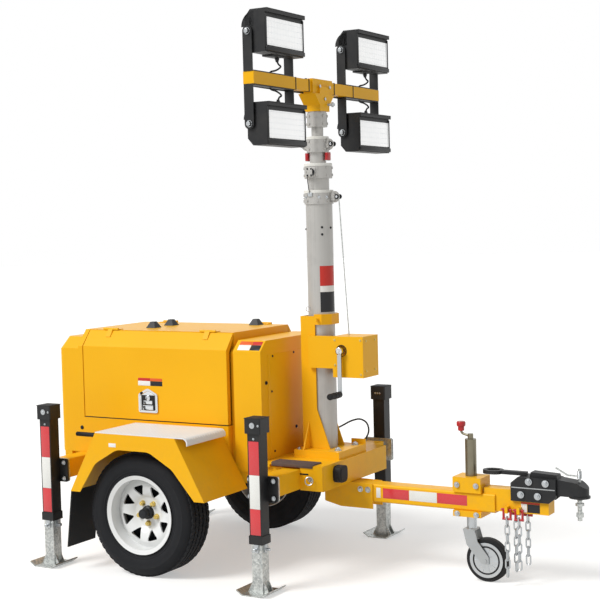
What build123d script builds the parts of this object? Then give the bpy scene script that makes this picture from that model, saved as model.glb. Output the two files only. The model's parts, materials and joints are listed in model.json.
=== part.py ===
from build123d import *
import math
import os

# Mobile light tower: a single axle trailer with a generator canopy, four
# outrigger jacks and a vertical telescopic mast that carries four floodlights.
# Millimetres. X runs forward to the coupling, Y to the left side, Z up.
# While building, X is counted from the axle and Z from the ground.

# Sizes that several groups share
RUNNING_GAP = 0.3
OVERLAP = 1
CANOPY_HALF_WIDTH = 352
TYRE_RADIUS = 325

# Wheels and axle
TYRE_SECTION = 117
TYRE_WIDTH = 200
TYRE_SHOULDER = 34
TYRE_BULGE = 58
TYRE_BEAD_INSET = 14
RIM_RADIUS = TYRE_RADIUS - TYRE_SECTION
RIM_FLANGE = 18
RIM_SEAT_RADIUS = RIM_RADIUS - RIM_FLANGE
RIM_WIDTH = 172
RIM_WALL = 6
RIM_LIP_RISE = 16
WHEEL_Y = 600
WHEEL_DISC_Y = 20
DISC_THICKNESS = 10
DISC_EDGE_INSET = 26
DISC_EDGE_DROP = 22
HUB_RADIUS = 62
HUB_FLAT = 20
HUB_SWELL = 34
HUB_SWELL_RISE = 12
HUB_DEPTH = 80
HUB_CAP_RADIUS = 34
HUB_CAP_LENGTH = 62
HUB_CAP_ROUND = 7
WHEEL_HOLE_COUNT = 8
WHEEL_HOLE_RADIUS = (HUB_RADIUS + HUB_SWELL + RIM_SEAT_RADIUS - DISC_EDGE_INSET) / 2
WHEEL_HOLE_SIZE = 0.4 * (RIM_SEAT_RADIUS - DISC_EDGE_INSET - HUB_RADIUS - HUB_SWELL)
WHEEL_NUT_COUNT = 5
WHEEL_NUT_CIRCLE = 57
WHEEL_NUT_RADIUS = 11
WHEEL_NUT_LENGTH = 16
AXLE_SIZE = 60
STUB_RADIUS = 22
STUB_CLEARANCE = 0.05

# Chassis frame
RAIL_Y = CANOPY_HALF_WIDTH - 52
RAIL_WIDTH = 60
FRAME_BOTTOM = 460
FRAME_TOP = 560
FRAME_REAR_X = -770
REAR_BEAM_DEPTH = 50
CROSS_MEMBERS_X = (-200, 200, 560)
CROSS_MEMBER_WIDTH = 50
CROSS_MEMBER_RISE = 20
DECK_REAR_X = 546
DECK_FRONT_X = 902
DECK_TOP = 583
DECK_PLATE = 8
DECK_SHEET = 6
DECK_HALF_WIDTH = CANOPY_HALF_WIDTH - 2
DECK_PAD = 60
DECK_LIP_RISE = 26
FRONT_BEAM_DEPTH = 52
FRONT_BEAM_DROP = 6
GUSSET_LEG = 62
SOCKET_SIZE = 80
SOCKET_REACH = 40
SOCKET_ROUND = 18
SOCKET_Y = -208
SOCKET_Z = 525

# Springs
SPRING_WIDTH = 60
SPRING_LEAF = 9
SPRING_LEAF_COUNT = 3
SPRING_LEAF_STEP = 0.24
SPRING_SPAN = 640
SPRING_Y = RAIL_Y + RAIL_WIDTH / 2
SPRING_EYE_DROP = 20.5
SPRING_EYE_RADIUS = 16
SPRING_BOLT_RADIUS = 9
SHACKLE_THICKNESS = 8
SHACKLE_HALF = 22
CLIP_THICKNESS = 10
CLIP_REACH = 16
CLIP_BOLT_RADIUS = 6

# Outriggers and jacks
JACK_FRONT_X = 718
JACK_REAR_X = -606
GUIDE_SIZE = 100
GUIDE_HALF_LENGTH = 588
GUIDE_WALL = 7
SLIDE_CLEARANCE = 0.5
BEAM_SIZE = GUIDE_SIZE - 2 * GUIDE_WALL - 2 * SLIDE_CLEARANCE
BEAM_WALL = 6
BEAM_GAP = 40
FLANGE_LENGTH = 175
FLANGE_HEIGHT = 125
FLANGE_THICKNESS = 10
FLANGE_ROUND = 12
FLANGE_BOLT_RADIUS = 9
FLANGE_BOLT_INSET = 20
FLANGE_BOLT_HEAD = 8
JACK_GAP = 25
JACK_TUBE = 70
JACK_WALL = 4
JACK_Y = GUIDE_HALF_LENGTH + JACK_GAP + 2 * FLANGE_THICKNESS + JACK_TUBE / 2
JACK_HEAD = 92
JACK_HEAD_BOTTOM = 792
JACK_HEAD_CHAMFER = 5
JACK_TOP = 867
JACK_BOTTOM = 246
JACK_COLLAR = 78
JACK_COLLAR_HEIGHT = 42
JACK_SOCKET_RADIUS = 13
JACK_SOCKET_DEPTH = 30
JACK_SOCKET_DROP = 34
JACK_EAR = 24
JACK_EAR_SHEET = 5
LEG_SIZE = JACK_TUBE - 2 * JACK_WALL - 2 * SLIDE_CLEARANCE
LEG_WALL = 5
LEG_TOP = 650
LEG_PIN_DROP = 26
LEG_PIN_RADIUS = 7
LEG_PIN_LENGTH = 26
LEG_RIB_HEIGHT = 66
LEG_RIB_SPREAD = 60
LEG_RIB_SHEET = 6
LEG_RIB_Y = 21
FOOT_SIZE = 180
FOOT_PLATE = 6
FOOT_LIP = 34
FOOT_LIP_RISE = 22

# Fenders
FENDER_OUTER_Y = WHEEL_Y + TYRE_WIDTH / 2 + 50
FENDER_SHEET = 4
FENDER_TOP = 2 * TYRE_RADIUS + 98
FENDER_TOP_REAR_X = 97 - TYRE_RADIUS
FENDER_TOP_FRONT_X = TYRE_RADIUS - 47
FENDER_REAR_X = -TYRE_RADIUS - 77
FENDER_REAR_Z = TYRE_RADIUS + 105
FENDER_FRONT_X = TYRE_RADIUS + 125
FENDER_FRONT_Z = TYRE_RADIUS + 113
FENDER_OPEN_DROP = 40
ARCH_TOP = 2 * TYRE_RADIUS + 18
ARCH_HALF_TOP = TYRE_RADIUS - 235
ARCH_CORNER_X = TYRE_RADIUS - 93
ARCH_CORNER_Z = TYRE_RADIUS + 263
ARCH_LEAD = 25
ARCH_FOOT = 62
ARCH_ROUND = 90
STEP_PLATE = 5
STEP_INNER_Y = CANOPY_HALF_WIDTH + 50
STEP_FRONT_X = FENDER_TOP_FRONT_X + 50
STEP_LIP = 42
STEP_CURL = 16
FLAP_THICKNESS = 8
FLAP_BOTTOM = 127
FLAP_LEAN = 32
FLAP_OUTER_Y = FENDER_OUTER_Y - 5
FLAP_INNER_Y = FENDER_OUTER_Y - 228

# Crank handle for the jacks, stowed in the rear slope of the right mudguard
HANDLE_Y = -560
HANDLE_Z = FENDER_TOP - 48
HANDLE_GRIP_REAR_X = FENDER_REAR_X - 105
HANDLE_GRIP_LENGTH = 128
HANDLE_GRIP_RADIUS = 12
HANDLE_ROD_RADIUS = 8
HANDLE_ROD_END_X = FENDER_TOP_REAR_X + 12

# Canopy and cabinet
CANOPY_REAR_X = -790
CANOPY_FRONT_X = 340
CANOPY_BOTTOM = 560
DOOR_BOTTOM = FENDER_TOP + 9
DOOR_REAR_X = -622
CANOPY_FOLD = 1155
CANOPY_TOP = 1243
CANOPY_SHOULDER = 74
ROOF_HALF_WIDTH = CANOPY_HALF_WIDTH - CANOPY_SHOULDER
REAR_CAP_DROP = 42
REAR_CAP_ROUND = 26
PANEL = 30
DOOR_GAP = 6
DOOR_ROOF_DROP = 4
HINGE_RADIUS = 7
HINGE_PIN_RADIUS = 3
HINGE_PIN_CLEARANCE = 0.05
HINGE_LIFT = 4
HINGE_LEAF = 44
HINGE_LEAF_SHEET = 4
HINGE_HALF_LENGTH = 50
HINGE_KNUCKLE_HALF = 16
HINGE_X = (-470, 180)
LATCH_X0 = -237
LATCH_X1 = -108
LATCH_BOTTOM = FENDER_TOP + 55
LATCH_SHOULDER = LATCH_BOTTOM + 103
LATCH_TOP = LATCH_SHOULDER + 32
LATCH_RISE = 3
CABINET_REAR_X = 374
CABINET_FRONT_X = 542
CABINET_HALF_WIDTH = CANOPY_HALF_WIDTH - 12
CABINET_BOTTOM = 522
CABINET_FOLD = 1152
CABINET_TOP = 1205
CABINET_ROOF_HALF_WIDTH = CABINET_HALF_WIDTH - 55
CABINET_BACK_SHEET = 6
CABINET_FRONT_SHEET = 12
NECK_INSET = 28
ENGINE_LENGTH = 820
ENGINE_WIDTH = 380
ENGINE_HEIGHT = 470
ENGINE_REAR_X = -600
ENGINE_FEET = 40
ENGINE_FOOT_HALF = 30
ENGINE_FOOT_INSET = 80

# Roof: lifting and vent caps, X and Y of each
ROOF_CAP_SIZE = 62
ROOF_CAP_TOP_SIZE = 26
ROOF_CAP_HEIGHT = 34
ROOF_CAPS = ((-312, -99), (-314, 73), (176, 205))

# Mast and its support
MAST_X = 718
MAST_BASE_Z = 622
MAST_WALL = 5
MAST_STEP = 12
MAST_COLLAR_CLEARANCE = 0.4
COLLAR_BOLT_COUNT = 8
COLLAR_BOLT_RADIUS = 7
COLLAR_BOLT_HEAD = 4
COLLAR_BOLT_EDGE = 17
WEAR_RING_HEIGHT = 7
WEAR_RING_INSET = 5
STOP_HEIGHT = 44
STOP_WIDTH = 34
STOP_REACH = 66
STOP_INNER = 52
PULLEY_RADIUS = 30
PULLEY_WIDTH = 18
PULLEY_HUB_RADIUS = 9
PULLEY_CHEEK = 6
PULLEY_CHEEK_HALF = 20
PULLEY_CHEEK_REACH = 12
PULLEY_GROOVE = 4
CLAMP_BOTTOM = 1275
CLAMP_TOP = 1330
CLAMP_WALL = 12
CLAMP_PIN_RADIUS = 7
CLAMP_PIN_HEAD = 13
CLAMP_PIN_REACH = 30
CLAMP_HALF_FRONT = 40
CLAMP_SHOULDER_X = 45
POST_PLATE = 7
POST_HALF_WIDTH = 80
POST_REAR_X = 634
POST_FRONT_X = 720
POST_FLARE_X = 795
POST_FLARE_Z = 830
POST_TOP = 1320
PLATFORM_REAR_X = 617
PLATFORM_FRONT_X = 886
PLATFORM_HALF_WIDTH = 150
PLATFORM_BOLT_Y = 95
PLATFORM_BOLT_RADIUS = 13
PLATFORM_BOLT_INSET = 36
PLATFORM_BOLT_HEAD = 12
RIB_HEIGHT = 145
RIB_REACH = 66
RIB_SHEET = 7
RIB_INSET = 34

# Mast tubes from the outside in: diameter, collar diameter, collar bottom and top, how far the
# collar's pulleys stand off it, and on which ends of X they are
MAST_TUBES = (
    (140, 154, 1906, 1978, 13, (1,)),
    (112, 146, 2040, 2118, 0, ()),
    (86, 116, 2176, 2258, 4, (-1, 1)),
    (62, 106, 2308, 2388, 0, ()),
)

# Winch
WINCH_BOX_REAR_X = 836
WINCH_BOX_FRONT_X = 1014
WINCH_BOX_BOTTOM = 1006
WINCH_BOX_TOP = 1219
WINCH_ARM_BOTTOM = 1051
WINCH_ARM_REACH = 30
WINCH_NEAR_Y = -104
WINCH_FAR_Y = 66
WINCH_SHEET = 5
DRUM_RADIUS = 40
DRUM_X = 885
DRUM_NEAR_GAP = 24
BEARING_WALL = 8
BEARING_FAR_Y = 36
CRANK_X = 889
CRANK_Z = 1145
CRANK_HOLE_RADIUS = 28
CRANK_SHAFT_RADIUS = 10
CRANK_CLEARANCE = 0.05
CRANK_BORE_FAR_Y = 26
CRANK_SHAFT_END_Y = 6
CRANK_ARM_LENGTH = 224
CRANK_ARM_WIDTH = 22
CRANK_ARM_SHEET = 8
CRANK_ARM_Y = -128
CRANK_HUB_RADIUS = 18
CRANK_GRIP_LENGTH = 112
CRANK_GRIP_RADIUS = 15
ROPE_RADIUS = 3
ROPE_HOLE_RADIUS = 9

# Crossbar, yokes and lamps
BAR_SIZE = 60
BAR_HALF_LENGTH = 660
BAR_Z = 2515
HEAD_STEM = 98
HEAD_SLEEVE = 8
HEAD_HALF_WIDTH = 104
HEAD_WEB_RISE = 30
LAMP_Y = 469
LAMP_WIDTH = 362
LAMP_HEIGHT = 208
LAMP_DEPTH = 112
LAMP_PIVOT_RISE = 222
LAMP_PIVOT_BACK = 18
LAMP_TAPER = 34
LAMP_SLOPE = 30
LAMP_WINDOW_WIDTH = 322
LAMP_WINDOW_HEIGHT = 120
LAMP_WINDOW_DEPTH = 12
LAMP_WINDOW_DROP = 2
LAMP_LIP = 14
LAMP_LIP_HEIGHT = 20
LAMP_GLASS_INSET = 4
LAMP_FIN_COUNT = 9
LAMP_FIN_MARGIN = 30
LAMP_FIN_DEPTH = 26
LAMP_FIN_SLOT = 0.3
LAMP_FIN_INSET = 44
LAMP_BORE_DEPTH = 22
YOKE_INNER_WIDTH = 376
YOKE_PLATE = 6
YOKE_STRAP = 52
YOKE_PIN_RADIUS = 7
YOKE_PIN_CLEARANCE = 0.05
YOKE_HEAD_RADIUS = 15
YOKE_HEAD_LENGTH = 9
YOKE_PIN_LENGTH = 20

# Drawbar, jockey wheel, chains and coupling, each counted on from the one behind
DRAWBAR_REAR_X = 780
JOCKEY_X = 1556
DRAWBAR_STEP_X = JOCKEY_X + 144
DRAWBAR_FRONT_X = DRAWBAR_STEP_X + 275
DRAWBAR_HALF_WIDTH = 50
DRAWBAR_BOTTOM = 357
DRAWBAR_TOP = 451
DRAWBAR_WALL = 6
DRAWBAR_ROUND = 10
NOSE_BAR_LAP = 60
NOSE_BAR_HALF_WIDTH = 40
NOSE_BAR_BOTTOM = 368
NOSE_BAR_TOP = 480
BRACKET_REAR_X = 745
BRACKET_FRONT_X = 1027
BRACKET_PLATE = 8
BRACKET_BOTTOM = 322
BRACKET_STEP_X = 841
BRACKET_STEP_RISE = 22
BRACKET_SLOPE = 90
BRACKET_BOLT_RADIUS = 12
BRACKET_BOLT_HEAD = 8
BRACKET_BOLTS_X = (26, 70)
BRACKET_BOLT_DROP = 30

# Coupling head
BALL_RADIUS = 25
BALL_X = DRAWBAR_FRONT_X + 142
BALL_CLEARANCE = 0.8
BALL_Z = 478
BALL_DROP = 8
BALL_SHANK_RADIUS = 11
BALL_SHANK_BOTTOM = 349
BALL_COLLAR_RADIUS = 21
BALL_COLLAR_DROP = 44
BALL_COLLAR_HEIGHT = 12
BALL_NUT_RADIUS = 19
BALL_NUT_RISE = 18
BALL_NUT_HEIGHT = 20
COUPLING_NOSE_RADIUS = 51
COUPLING_NOSE_X = BALL_X + COUPLING_NOSE_RADIUS
COUPLING_REAR_X = DRAWBAR_STEP_X + 87
COUPLING_PLATE_FRONT_X = DRAWBAR_FRONT_X + 42
COUPLING_HALF_WIDTH = 58
COUPLING_BOTTOM = 430
COUPLING_TOP = 548
COUPLING_STEP_RISE = 30
COUPLING_STEP_BACK = 36
COUPLING_RIDGE = 572
COUPLING_RIDGE_HALF = 30
COUPLING_RIDGE_REAR_X = COUPLING_REAR_X + 88
COUPLING_NOSE_TOP = 536
COUPLING_NOSE_BOTTOM = 468
COUPLING_LIP = 6
COUPLING_LIP_HEIGHT = 8
COUPLING_BODY_HALF = 44
COUPLING_BOLT_RADIUS = 12
COUPLING_BOLT_HEAD = 8
COUPLING_BOLTS = ((95, 530), (180, 527), (54, 464), (140, 462))
LATCH_LEVER_LENGTH = 118
LATCH_LEVER_HALF = 7
LATCH_LEVER_SHEET = 6
LATCH_LEVER_RISE = 32

# Towing eye that lies folded back over the coupling bracket
EYE_REAR_X = COUPLING_REAR_X - 164
EYE_LENGTH = 104
EYE_HALF_WIDTH = 44
EYE_WIRE = 18
EYE_THICKNESS = 18
EYE_STRAP_HALF = 16
EYE_STRAP_WELD = 24

# Jockey wheel
JOCKEY_TUBE_RADIUS = 28.5
JOCKEY_TUBE_WALL = 3
JOCKEY_TOP = 712
JOCKEY_TUBE_BOTTOM = 322
JOCKEY_CAP = 8
JOCKEY_SCREW_RADIUS = 14
JOCKEY_SCREW_RISE = 26
JOCKEY_CRANK_X = 50
JOCKEY_CRANK_RISE = 42
JOCKEY_CRANK_WIRE = 6
JOCKEY_CRANK_BEND = 18
JOCKEY_KNOB_RADIUS = 15
JOCKEY_KNOB_LENGTH = 44
JOCKEY_LEG_RADIUS = JOCKEY_TUBE_RADIUS - JOCKEY_TUBE_WALL - RUNNING_GAP
JOCKEY_LEG_WALL = 3
JOCKEY_LEG_TOP = 640
JOCKEY_LEG_PLUG = 30
JOCKEY_FORK_TOP = 262
JOCKEY_TRAIL = 84
JOCKEY_WHEEL_RADIUS = 110
JOCKEY_WHEEL_WIDTH = 52
JOCKEY_TREAD_HEIGHT = 34
JOCKEY_WEB_HALF = 10
JOCKEY_HUB_RADIUS = 26
JOCKEY_SHOULDER = 12
JOCKEY_FORK_PLATE = 5
JOCKEY_FORK_GAP = 7
JOCKEY_CROWN_REAR = 34
JOCKEY_CROWN_FRONT = 26
JOCKEY_CROWN_DEPTH = 60
JOCKEY_CROWN_PLATE = 8
JOCKEY_AXLE_BOSS = 18
JOCKEY_PIN_RADIUS = 8
JOCKEY_BLOCK_LENGTH = 150
JOCKEY_BLOCK_HALF_WIDTH = 62
JOCKEY_BLOCK_TOP = 526
JOCKEY_BLOCK_BOTTOM = 328
JOCKEY_BOLT_RADIUS = 10
JOCKEY_BOLT_INSET = 24
JOCKEY_BOLT_HEAD = 7

# Safety chains: place of each strand behind the coupling, and its links
CHAIN_X = DRAWBAR_STEP_X + 68
CHAIN_PITCH_X = 62
CHAIN_STRANDS = ((0, 7), (1, 6))
CHAIN_LINK_LENGTH = 58
CHAIN_LINK_WIDTH = 30
CHAIN_WIRE_RADIUS = 4
CHAIN_LINK_TAPER = 9
CHAIN_LUG_Y = 60
CHAIN_LUG_Z = 384
CHAIN_LUG_HALF = 7
CHAIN_LUG_REACH = 16
SHACKLE_WIDTH = 24
SHACKLE_WIRE_RADIUS = 6
SHACKLE_DROP = 46
SHACKLE_HEAD = 6

# Supply cable in a loop beside the mast's foot, from the post down to the deck
CABLE_RADIUS = 4.5
CABLE_GLAND_RADIUS = 10
CABLE_ROUTE = (
    (700, 92, 688),
    (704, 134, 692),
    (728, 176, 706),
    (774, 196, 734),
    (828, 200, 748),
    (872, 198, 728),
    (884, 196, 682),
    (862, 194, 640),
    (850, 192, 595),
)

MIDDLE_X = (CANOPY_REAR_X + COUPLING_NOSE_X) / 2
os.makedirs("parts", exist_ok=True)


def block(x0, x1, y0, y1, z0, z1):
    """Axis aligned box between two corners."""
    size = (x1 - x0, y1 - y0, z1 - z0)
    middle = ((x0 + x1) / 2, (y0 + y1) / 2, (z0 + z1) / 2)
    return Pos(*middle) * Box(*size)


def rod_x(x0, x1, y, z, radius):
    """Round bar along X."""
    return Pos((x0 + x1) / 2, y, z) * Rot(0, 90, 0) * Cylinder(radius, x1 - x0)


def rod_y(x, y0, y1, z, radius):
    """Round bar along Y."""
    return Pos(x, (y0 + y1) / 2, z) * Rot(90, 0, 0) * Cylinder(radius, y1 - y0)


def rod_z(x, y, z0, z1, radius):
    """Round bar along Z."""
    return Pos(x, y, (z0 + z1) / 2) * Cylinder(radius, z1 - z0)


def square_tube_y(x, y0, y1, z, size, wall):
    """Square tube along Y, open at both ends."""
    outer = block(x - size / 2, x + size / 2, y0, y1, z - size / 2, z + size / 2)
    hollow = size / 2 - wall
    return outer - block(x - hollow, x + hollow, y0 - 1, y1 + 1, z - hollow, z + hollow)


def square_tube_z(x, y, z0, z1, size, wall):
    """Square tube along Z, open at both ends."""
    outer = block(x - size / 2, x + size / 2, y - size / 2, y + size / 2, z0, z1)
    hollow = size / 2 - wall
    return outer - block(x - hollow, x + hollow, y - hollow, y + hollow, z0 - 1, z1 + 1)


def side_profile(points, y0, y1):
    """Closed outline in X and Z, pushed from y0 to y1."""
    face = make_face(Plane.XZ * Polyline(*points, close=True))
    return Pos(0, y1, 0) * extrude(face, y1 - y0, dir=(0, -1, 0))


def end_profile(points, x0, x1):
    """Closed outline in Y and Z, pushed from x0 to x1."""
    face = make_face(Plane.YZ * Polyline(*points, close=True))
    return Pos(x0, 0, 0) * extrude(face, x1 - x0, dir=(1, 0, 0))


def hex_head_y(x, y0, y1, z, radius):
    """Hexagon bolt head along Y."""
    face = Plane.XZ * RegularPolygon(radius, 6)
    return Pos(x, y0, z) * extrude(face, abs(y1 - y0), dir=(0, math.copysign(1, y1 - y0), 0))


def rounded_profile(points, rounded, y0, y1):
    """Closed outline in X and Z with rounded corners, pushed from y0 to y1."""
    face = make_face(Plane.XZ * Polyline(*points, close=True))
    face = fillet(face.vertices(), rounded)
    return Pos(0, y1, 0) * extrude(face, y1 - y0, dir=(0, -1, 0))


def turned(points, x, y, z):
    """Ring turned about the Y direction: points are radius and offset along Y."""
    face = make_face(Plane.XY * Polyline(*points, close=True))
    return Pos(x, y, z) * revolve(face, Axis.Y)


def mirrored(shape):
    """The same piece on the other side of the trailer."""
    return mirror(shape, Plane.XZ)


def wheel_tyre(side):
    """Tyre with straight walls from the bead to the widest point and on to the tread."""
    half = TYRE_WIDTH / 2
    seat = RIM_SEAT_RADIUS + RUNNING_GAP
    points = (
        (seat, -half + TYRE_BEAD_INSET),
        (TYRE_RADIUS - TYRE_BULGE, -half),
        (TYRE_RADIUS, -half + TYRE_SHOULDER),
        (TYRE_RADIUS, half - TYRE_SHOULDER),
        (TYRE_RADIUS - TYRE_BULGE, half),
        (seat, half - TYRE_BEAD_INSET),
    )
    return turned(points, 0, side * WHEEL_Y, TYRE_RADIUS)


def wheel_barrel():
    """Rolled barrel of the rim, with a lip turned out at each edge over the tyre's bead."""
    half = RIM_WIDTH / 2
    seat = RIM_SEAT_RADIUS
    lip = seat + RIM_LIP_RISE
    rise = RIM_LIP_RISE * TYRE_BEAD_INSET / TYRE_BULGE * 2
    edge = half + rise + RIM_WALL / 2
    outline = (
        (seat - RIM_WALL, -half),
        (seat, -half),
        (seat, half + RUNNING_GAP),
        (lip, half + rise),
        (lip, edge),
        (seat - RIM_WALL, half + RIM_WALL / 2),
    )
    return turned(outline, 0, 0, 0)


def wheel_rim(side):
    """Steel wheel: rolled barrel, dished disc with eight holes, nuts and hub cap."""
    seat = RIM_SEAT_RADIUS
    disc_y = WHEEL_DISC_Y
    thick = DISC_THICKNESS
    bore = STUB_RADIUS + STUB_CLEARANCE
    weld = seat - RIM_WALL + OVERLAP
    face_line = (
        (bore, 0),
        (HUB_RADIUS + HUB_FLAT, 0),
        (HUB_RADIUS + HUB_SWELL, HUB_SWELL_RISE),
        (seat - DISC_EDGE_INSET, -thick / 2),
        (weld, -DISC_EDGE_DROP),
    )
    front = [(radius, disc_y + offset) for radius, offset in face_line]
    back = [(radius, disc_y + offset - thick) for radius, offset in reversed(face_line)]
    rim = wheel_barrel() + turned(front + back, 0, 0, 0)
    hole_face = RegularPolygon(WHEEL_HOLE_SIZE, 3)
    hole_face = fillet(hole_face.vertices(), WHEEL_HOLE_SIZE / 4)
    hole = extrude(Plane.XZ * hole_face, DISC_EDGE_DROP + HUB_SWELL_RISE, both=True)
    for turn in range(WHEEL_HOLE_COUNT):
        rim -= Rot(0, 360 / WHEEL_HOLE_COUNT * turn, 0) * Pos(WHEEL_HOLE_RADIUS, disc_y, 0) * hole
    hub = (
        (bore, disc_y - HUB_DEPTH),
        (HUB_RADIUS, disc_y - HUB_DEPTH),
        (HUB_RADIUS, disc_y - thick + OVERLAP),
        (bore, disc_y - thick + OVERLAP),
    )
    rim += turned(hub, 0, 0, 0)
    cap_end = disc_y + HUB_CAP_LENGTH
    cap = (
        (bore, disc_y - OVERLAP),
        (HUB_CAP_RADIUS, disc_y - OVERLAP),
        (HUB_CAP_RADIUS, cap_end - HUB_CAP_ROUND),
        (HUB_CAP_RADIUS - HUB_CAP_ROUND, cap_end),
        (0, cap_end),
        (0, cap_end - HUB_CAP_LENGTH / 5),
        (bore, cap_end - HUB_CAP_LENGTH / 5),
    )
    rim += turned(cap, 0, 0, 0)
    for turn in range(WHEEL_NUT_COUNT):
        angle = 360 / WHEEL_NUT_COUNT * (turn + 0.25)
        nut = hex_head_y(WHEEL_NUT_CIRCLE, disc_y - OVERLAP, disc_y + WHEEL_NUT_LENGTH, 0, WHEEL_NUT_RADIUS)
        rim += Rot(0, angle, 0) * nut
    rim = Pos(0, WHEEL_Y, TYRE_RADIUS) * rim
    return rim if side > 0 else mirrored(rim)


def leaf_outline(span, low, rise, high):
    """Bowed strip between two arcs that share their ends' X."""
    lower = ThreePointArc((-span, low + rise), (0, low), (span, low + rise))
    upper = ThreePointArc((span, high + rise), (0, high), (-span, high + rise))
    outline = [lower, Line(lower @ 1, upper @ 0), upper, Line(upper @ 1, lower @ 0)]
    return make_face([Plane.XZ * edge for edge in outline])


def leaf_spring(y):
    """Three bowed leaves, an eye at each end with its hanger, and the clip on the axle."""
    y0 = y - SPRING_WIDTH / 2
    y1 = y + SPRING_WIDTH / 2
    half = AXLE_SIZE / 2
    base = TYRE_RADIUS + half
    eye_z = FRAME_BOTTOM - SPRING_EYE_DROP
    bow = eye_z - base - SPRING_LEAF * (SPRING_LEAF_COUNT - 0.5)
    spring = Part()
    for leaf in range(SPRING_LEAF_COUNT):
        share = 1 - SPRING_LEAF_STEP * (SPRING_LEAF_COUNT - 1 - leaf)
        low = base + SPRING_LEAF * leaf - OVERLAP / 2
        face = leaf_outline(SPRING_SPAN / 2 * share, low, bow * share ** 2, low + SPRING_LEAF + OVERLAP / 2)
        spring += Pos(0, y1, 0) * extrude(face, SPRING_WIDTH, dir=(0, -1, 0))
    cheek = SHACKLE_THICKNESS
    for eye_x in (-SPRING_SPAN / 2, SPRING_SPAN / 2):
        spring += rod_y(eye_x, y0, y1, eye_z, SPRING_EYE_RADIUS)
        for plate_y in (y0 - cheek, y1):
            low = eye_z - SHACKLE_HALF
            spring += block(eye_x - SHACKLE_HALF, eye_x + SHACKLE_HALF, plate_y, plate_y + cheek,
                            low, FRAME_BOTTOM)
        spring += rod_y(eye_x, y0 - 2 * cheek, y1 + 2 * cheek, eye_z, SPRING_BOLT_RADIUS)
    reach = half + CLIP_REACH
    top = base + SPRING_LEAF * SPRING_LEAF_COUNT
    bolt_x = half + CLIP_BOLT_RADIUS + OVERLAP
    for x in (-bolt_x, bolt_x):
        for bolt_y in (y0 - CLIP_REACH / 2, y1 + CLIP_REACH / 2):
            foot = TYRE_RADIUS - half - CLIP_THICKNESS - CLIP_BOLT_RADIUS / 2
            spring += rod_z(x, bolt_y, foot, top + CLIP_THICKNESS + CLIP_BOLT_RADIUS / 2, CLIP_BOLT_RADIUS)
    for z in (top - OVERLAP, TYRE_RADIUS - half - CLIP_THICKNESS):
        spring += block(-reach, reach, y0 - CLIP_REACH, y1 + CLIP_REACH, z, z + CLIP_THICKNESS)
    return spring


def axle_and_springs():
    """Square axle beam with round stubs, a leaf pack and hangers at each side."""
    stub_inner = WHEEL_Y + WHEEL_DISC_Y - HUB_DEPTH - DISC_THICKNESS
    stub_outer = WHEEL_Y + WHEEL_DISC_Y + HUB_CAP_LENGTH * 0.75
    half = AXLE_SIZE / 2
    axle = block(-half, half, -stub_inner, stub_inner, TYRE_RADIUS - half, TYRE_RADIUS + half)
    axle += rod_y(0, -stub_outer, stub_outer, TYRE_RADIUS, STUB_RADIUS)
    for side in (-1, 1):
        axle += leaf_spring(side * SPRING_Y)
    return axle


def chassis_frame():
    """Two long rails, rear and middle cross members and the outrigger guide tubes."""
    frame_z = (FRAME_BOTTOM + FRAME_TOP) / 2
    front = DECK_FRONT_X - FRONT_BEAM_DEPTH
    rear = FRAME_REAR_X + REAR_BEAM_DEPTH
    width = CANOPY_HALF_WIDTH
    frame = block(FRAME_REAR_X, rear, -width, width, FRAME_BOTTOM, FRAME_TOP)
    for side in (-1, 1):
        y0 = side * RAIL_Y - RAIL_WIDTH / 2
        frame += block(FRAME_REAR_X, front, y0, y0 + RAIL_WIDTH, FRAME_BOTTOM, FRAME_TOP)
    half = CROSS_MEMBER_WIDTH / 2
    for x in CROSS_MEMBERS_X:
        frame += block(x - half, x + half, -RAIL_Y, RAIL_Y, FRAME_BOTTOM + CROSS_MEMBER_RISE, FRAME_TOP)
    half = GUIDE_SIZE / 2
    bore = BEAM_SIZE / 2 + SLIDE_CLEARANCE
    long = GUIDE_HALF_LENGTH
    for x in (JACK_REAR_X, JACK_FRONT_X):
        frame += block(x - half, x + half, -long, long, frame_z - half, frame_z + half)
    for x in (JACK_REAR_X, JACK_FRONT_X):
        end = long + OVERLAP
        frame -= block(x - bore, x + bore, -end, end, frame_z - bore, frame_z + bore)
    return frame


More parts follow.
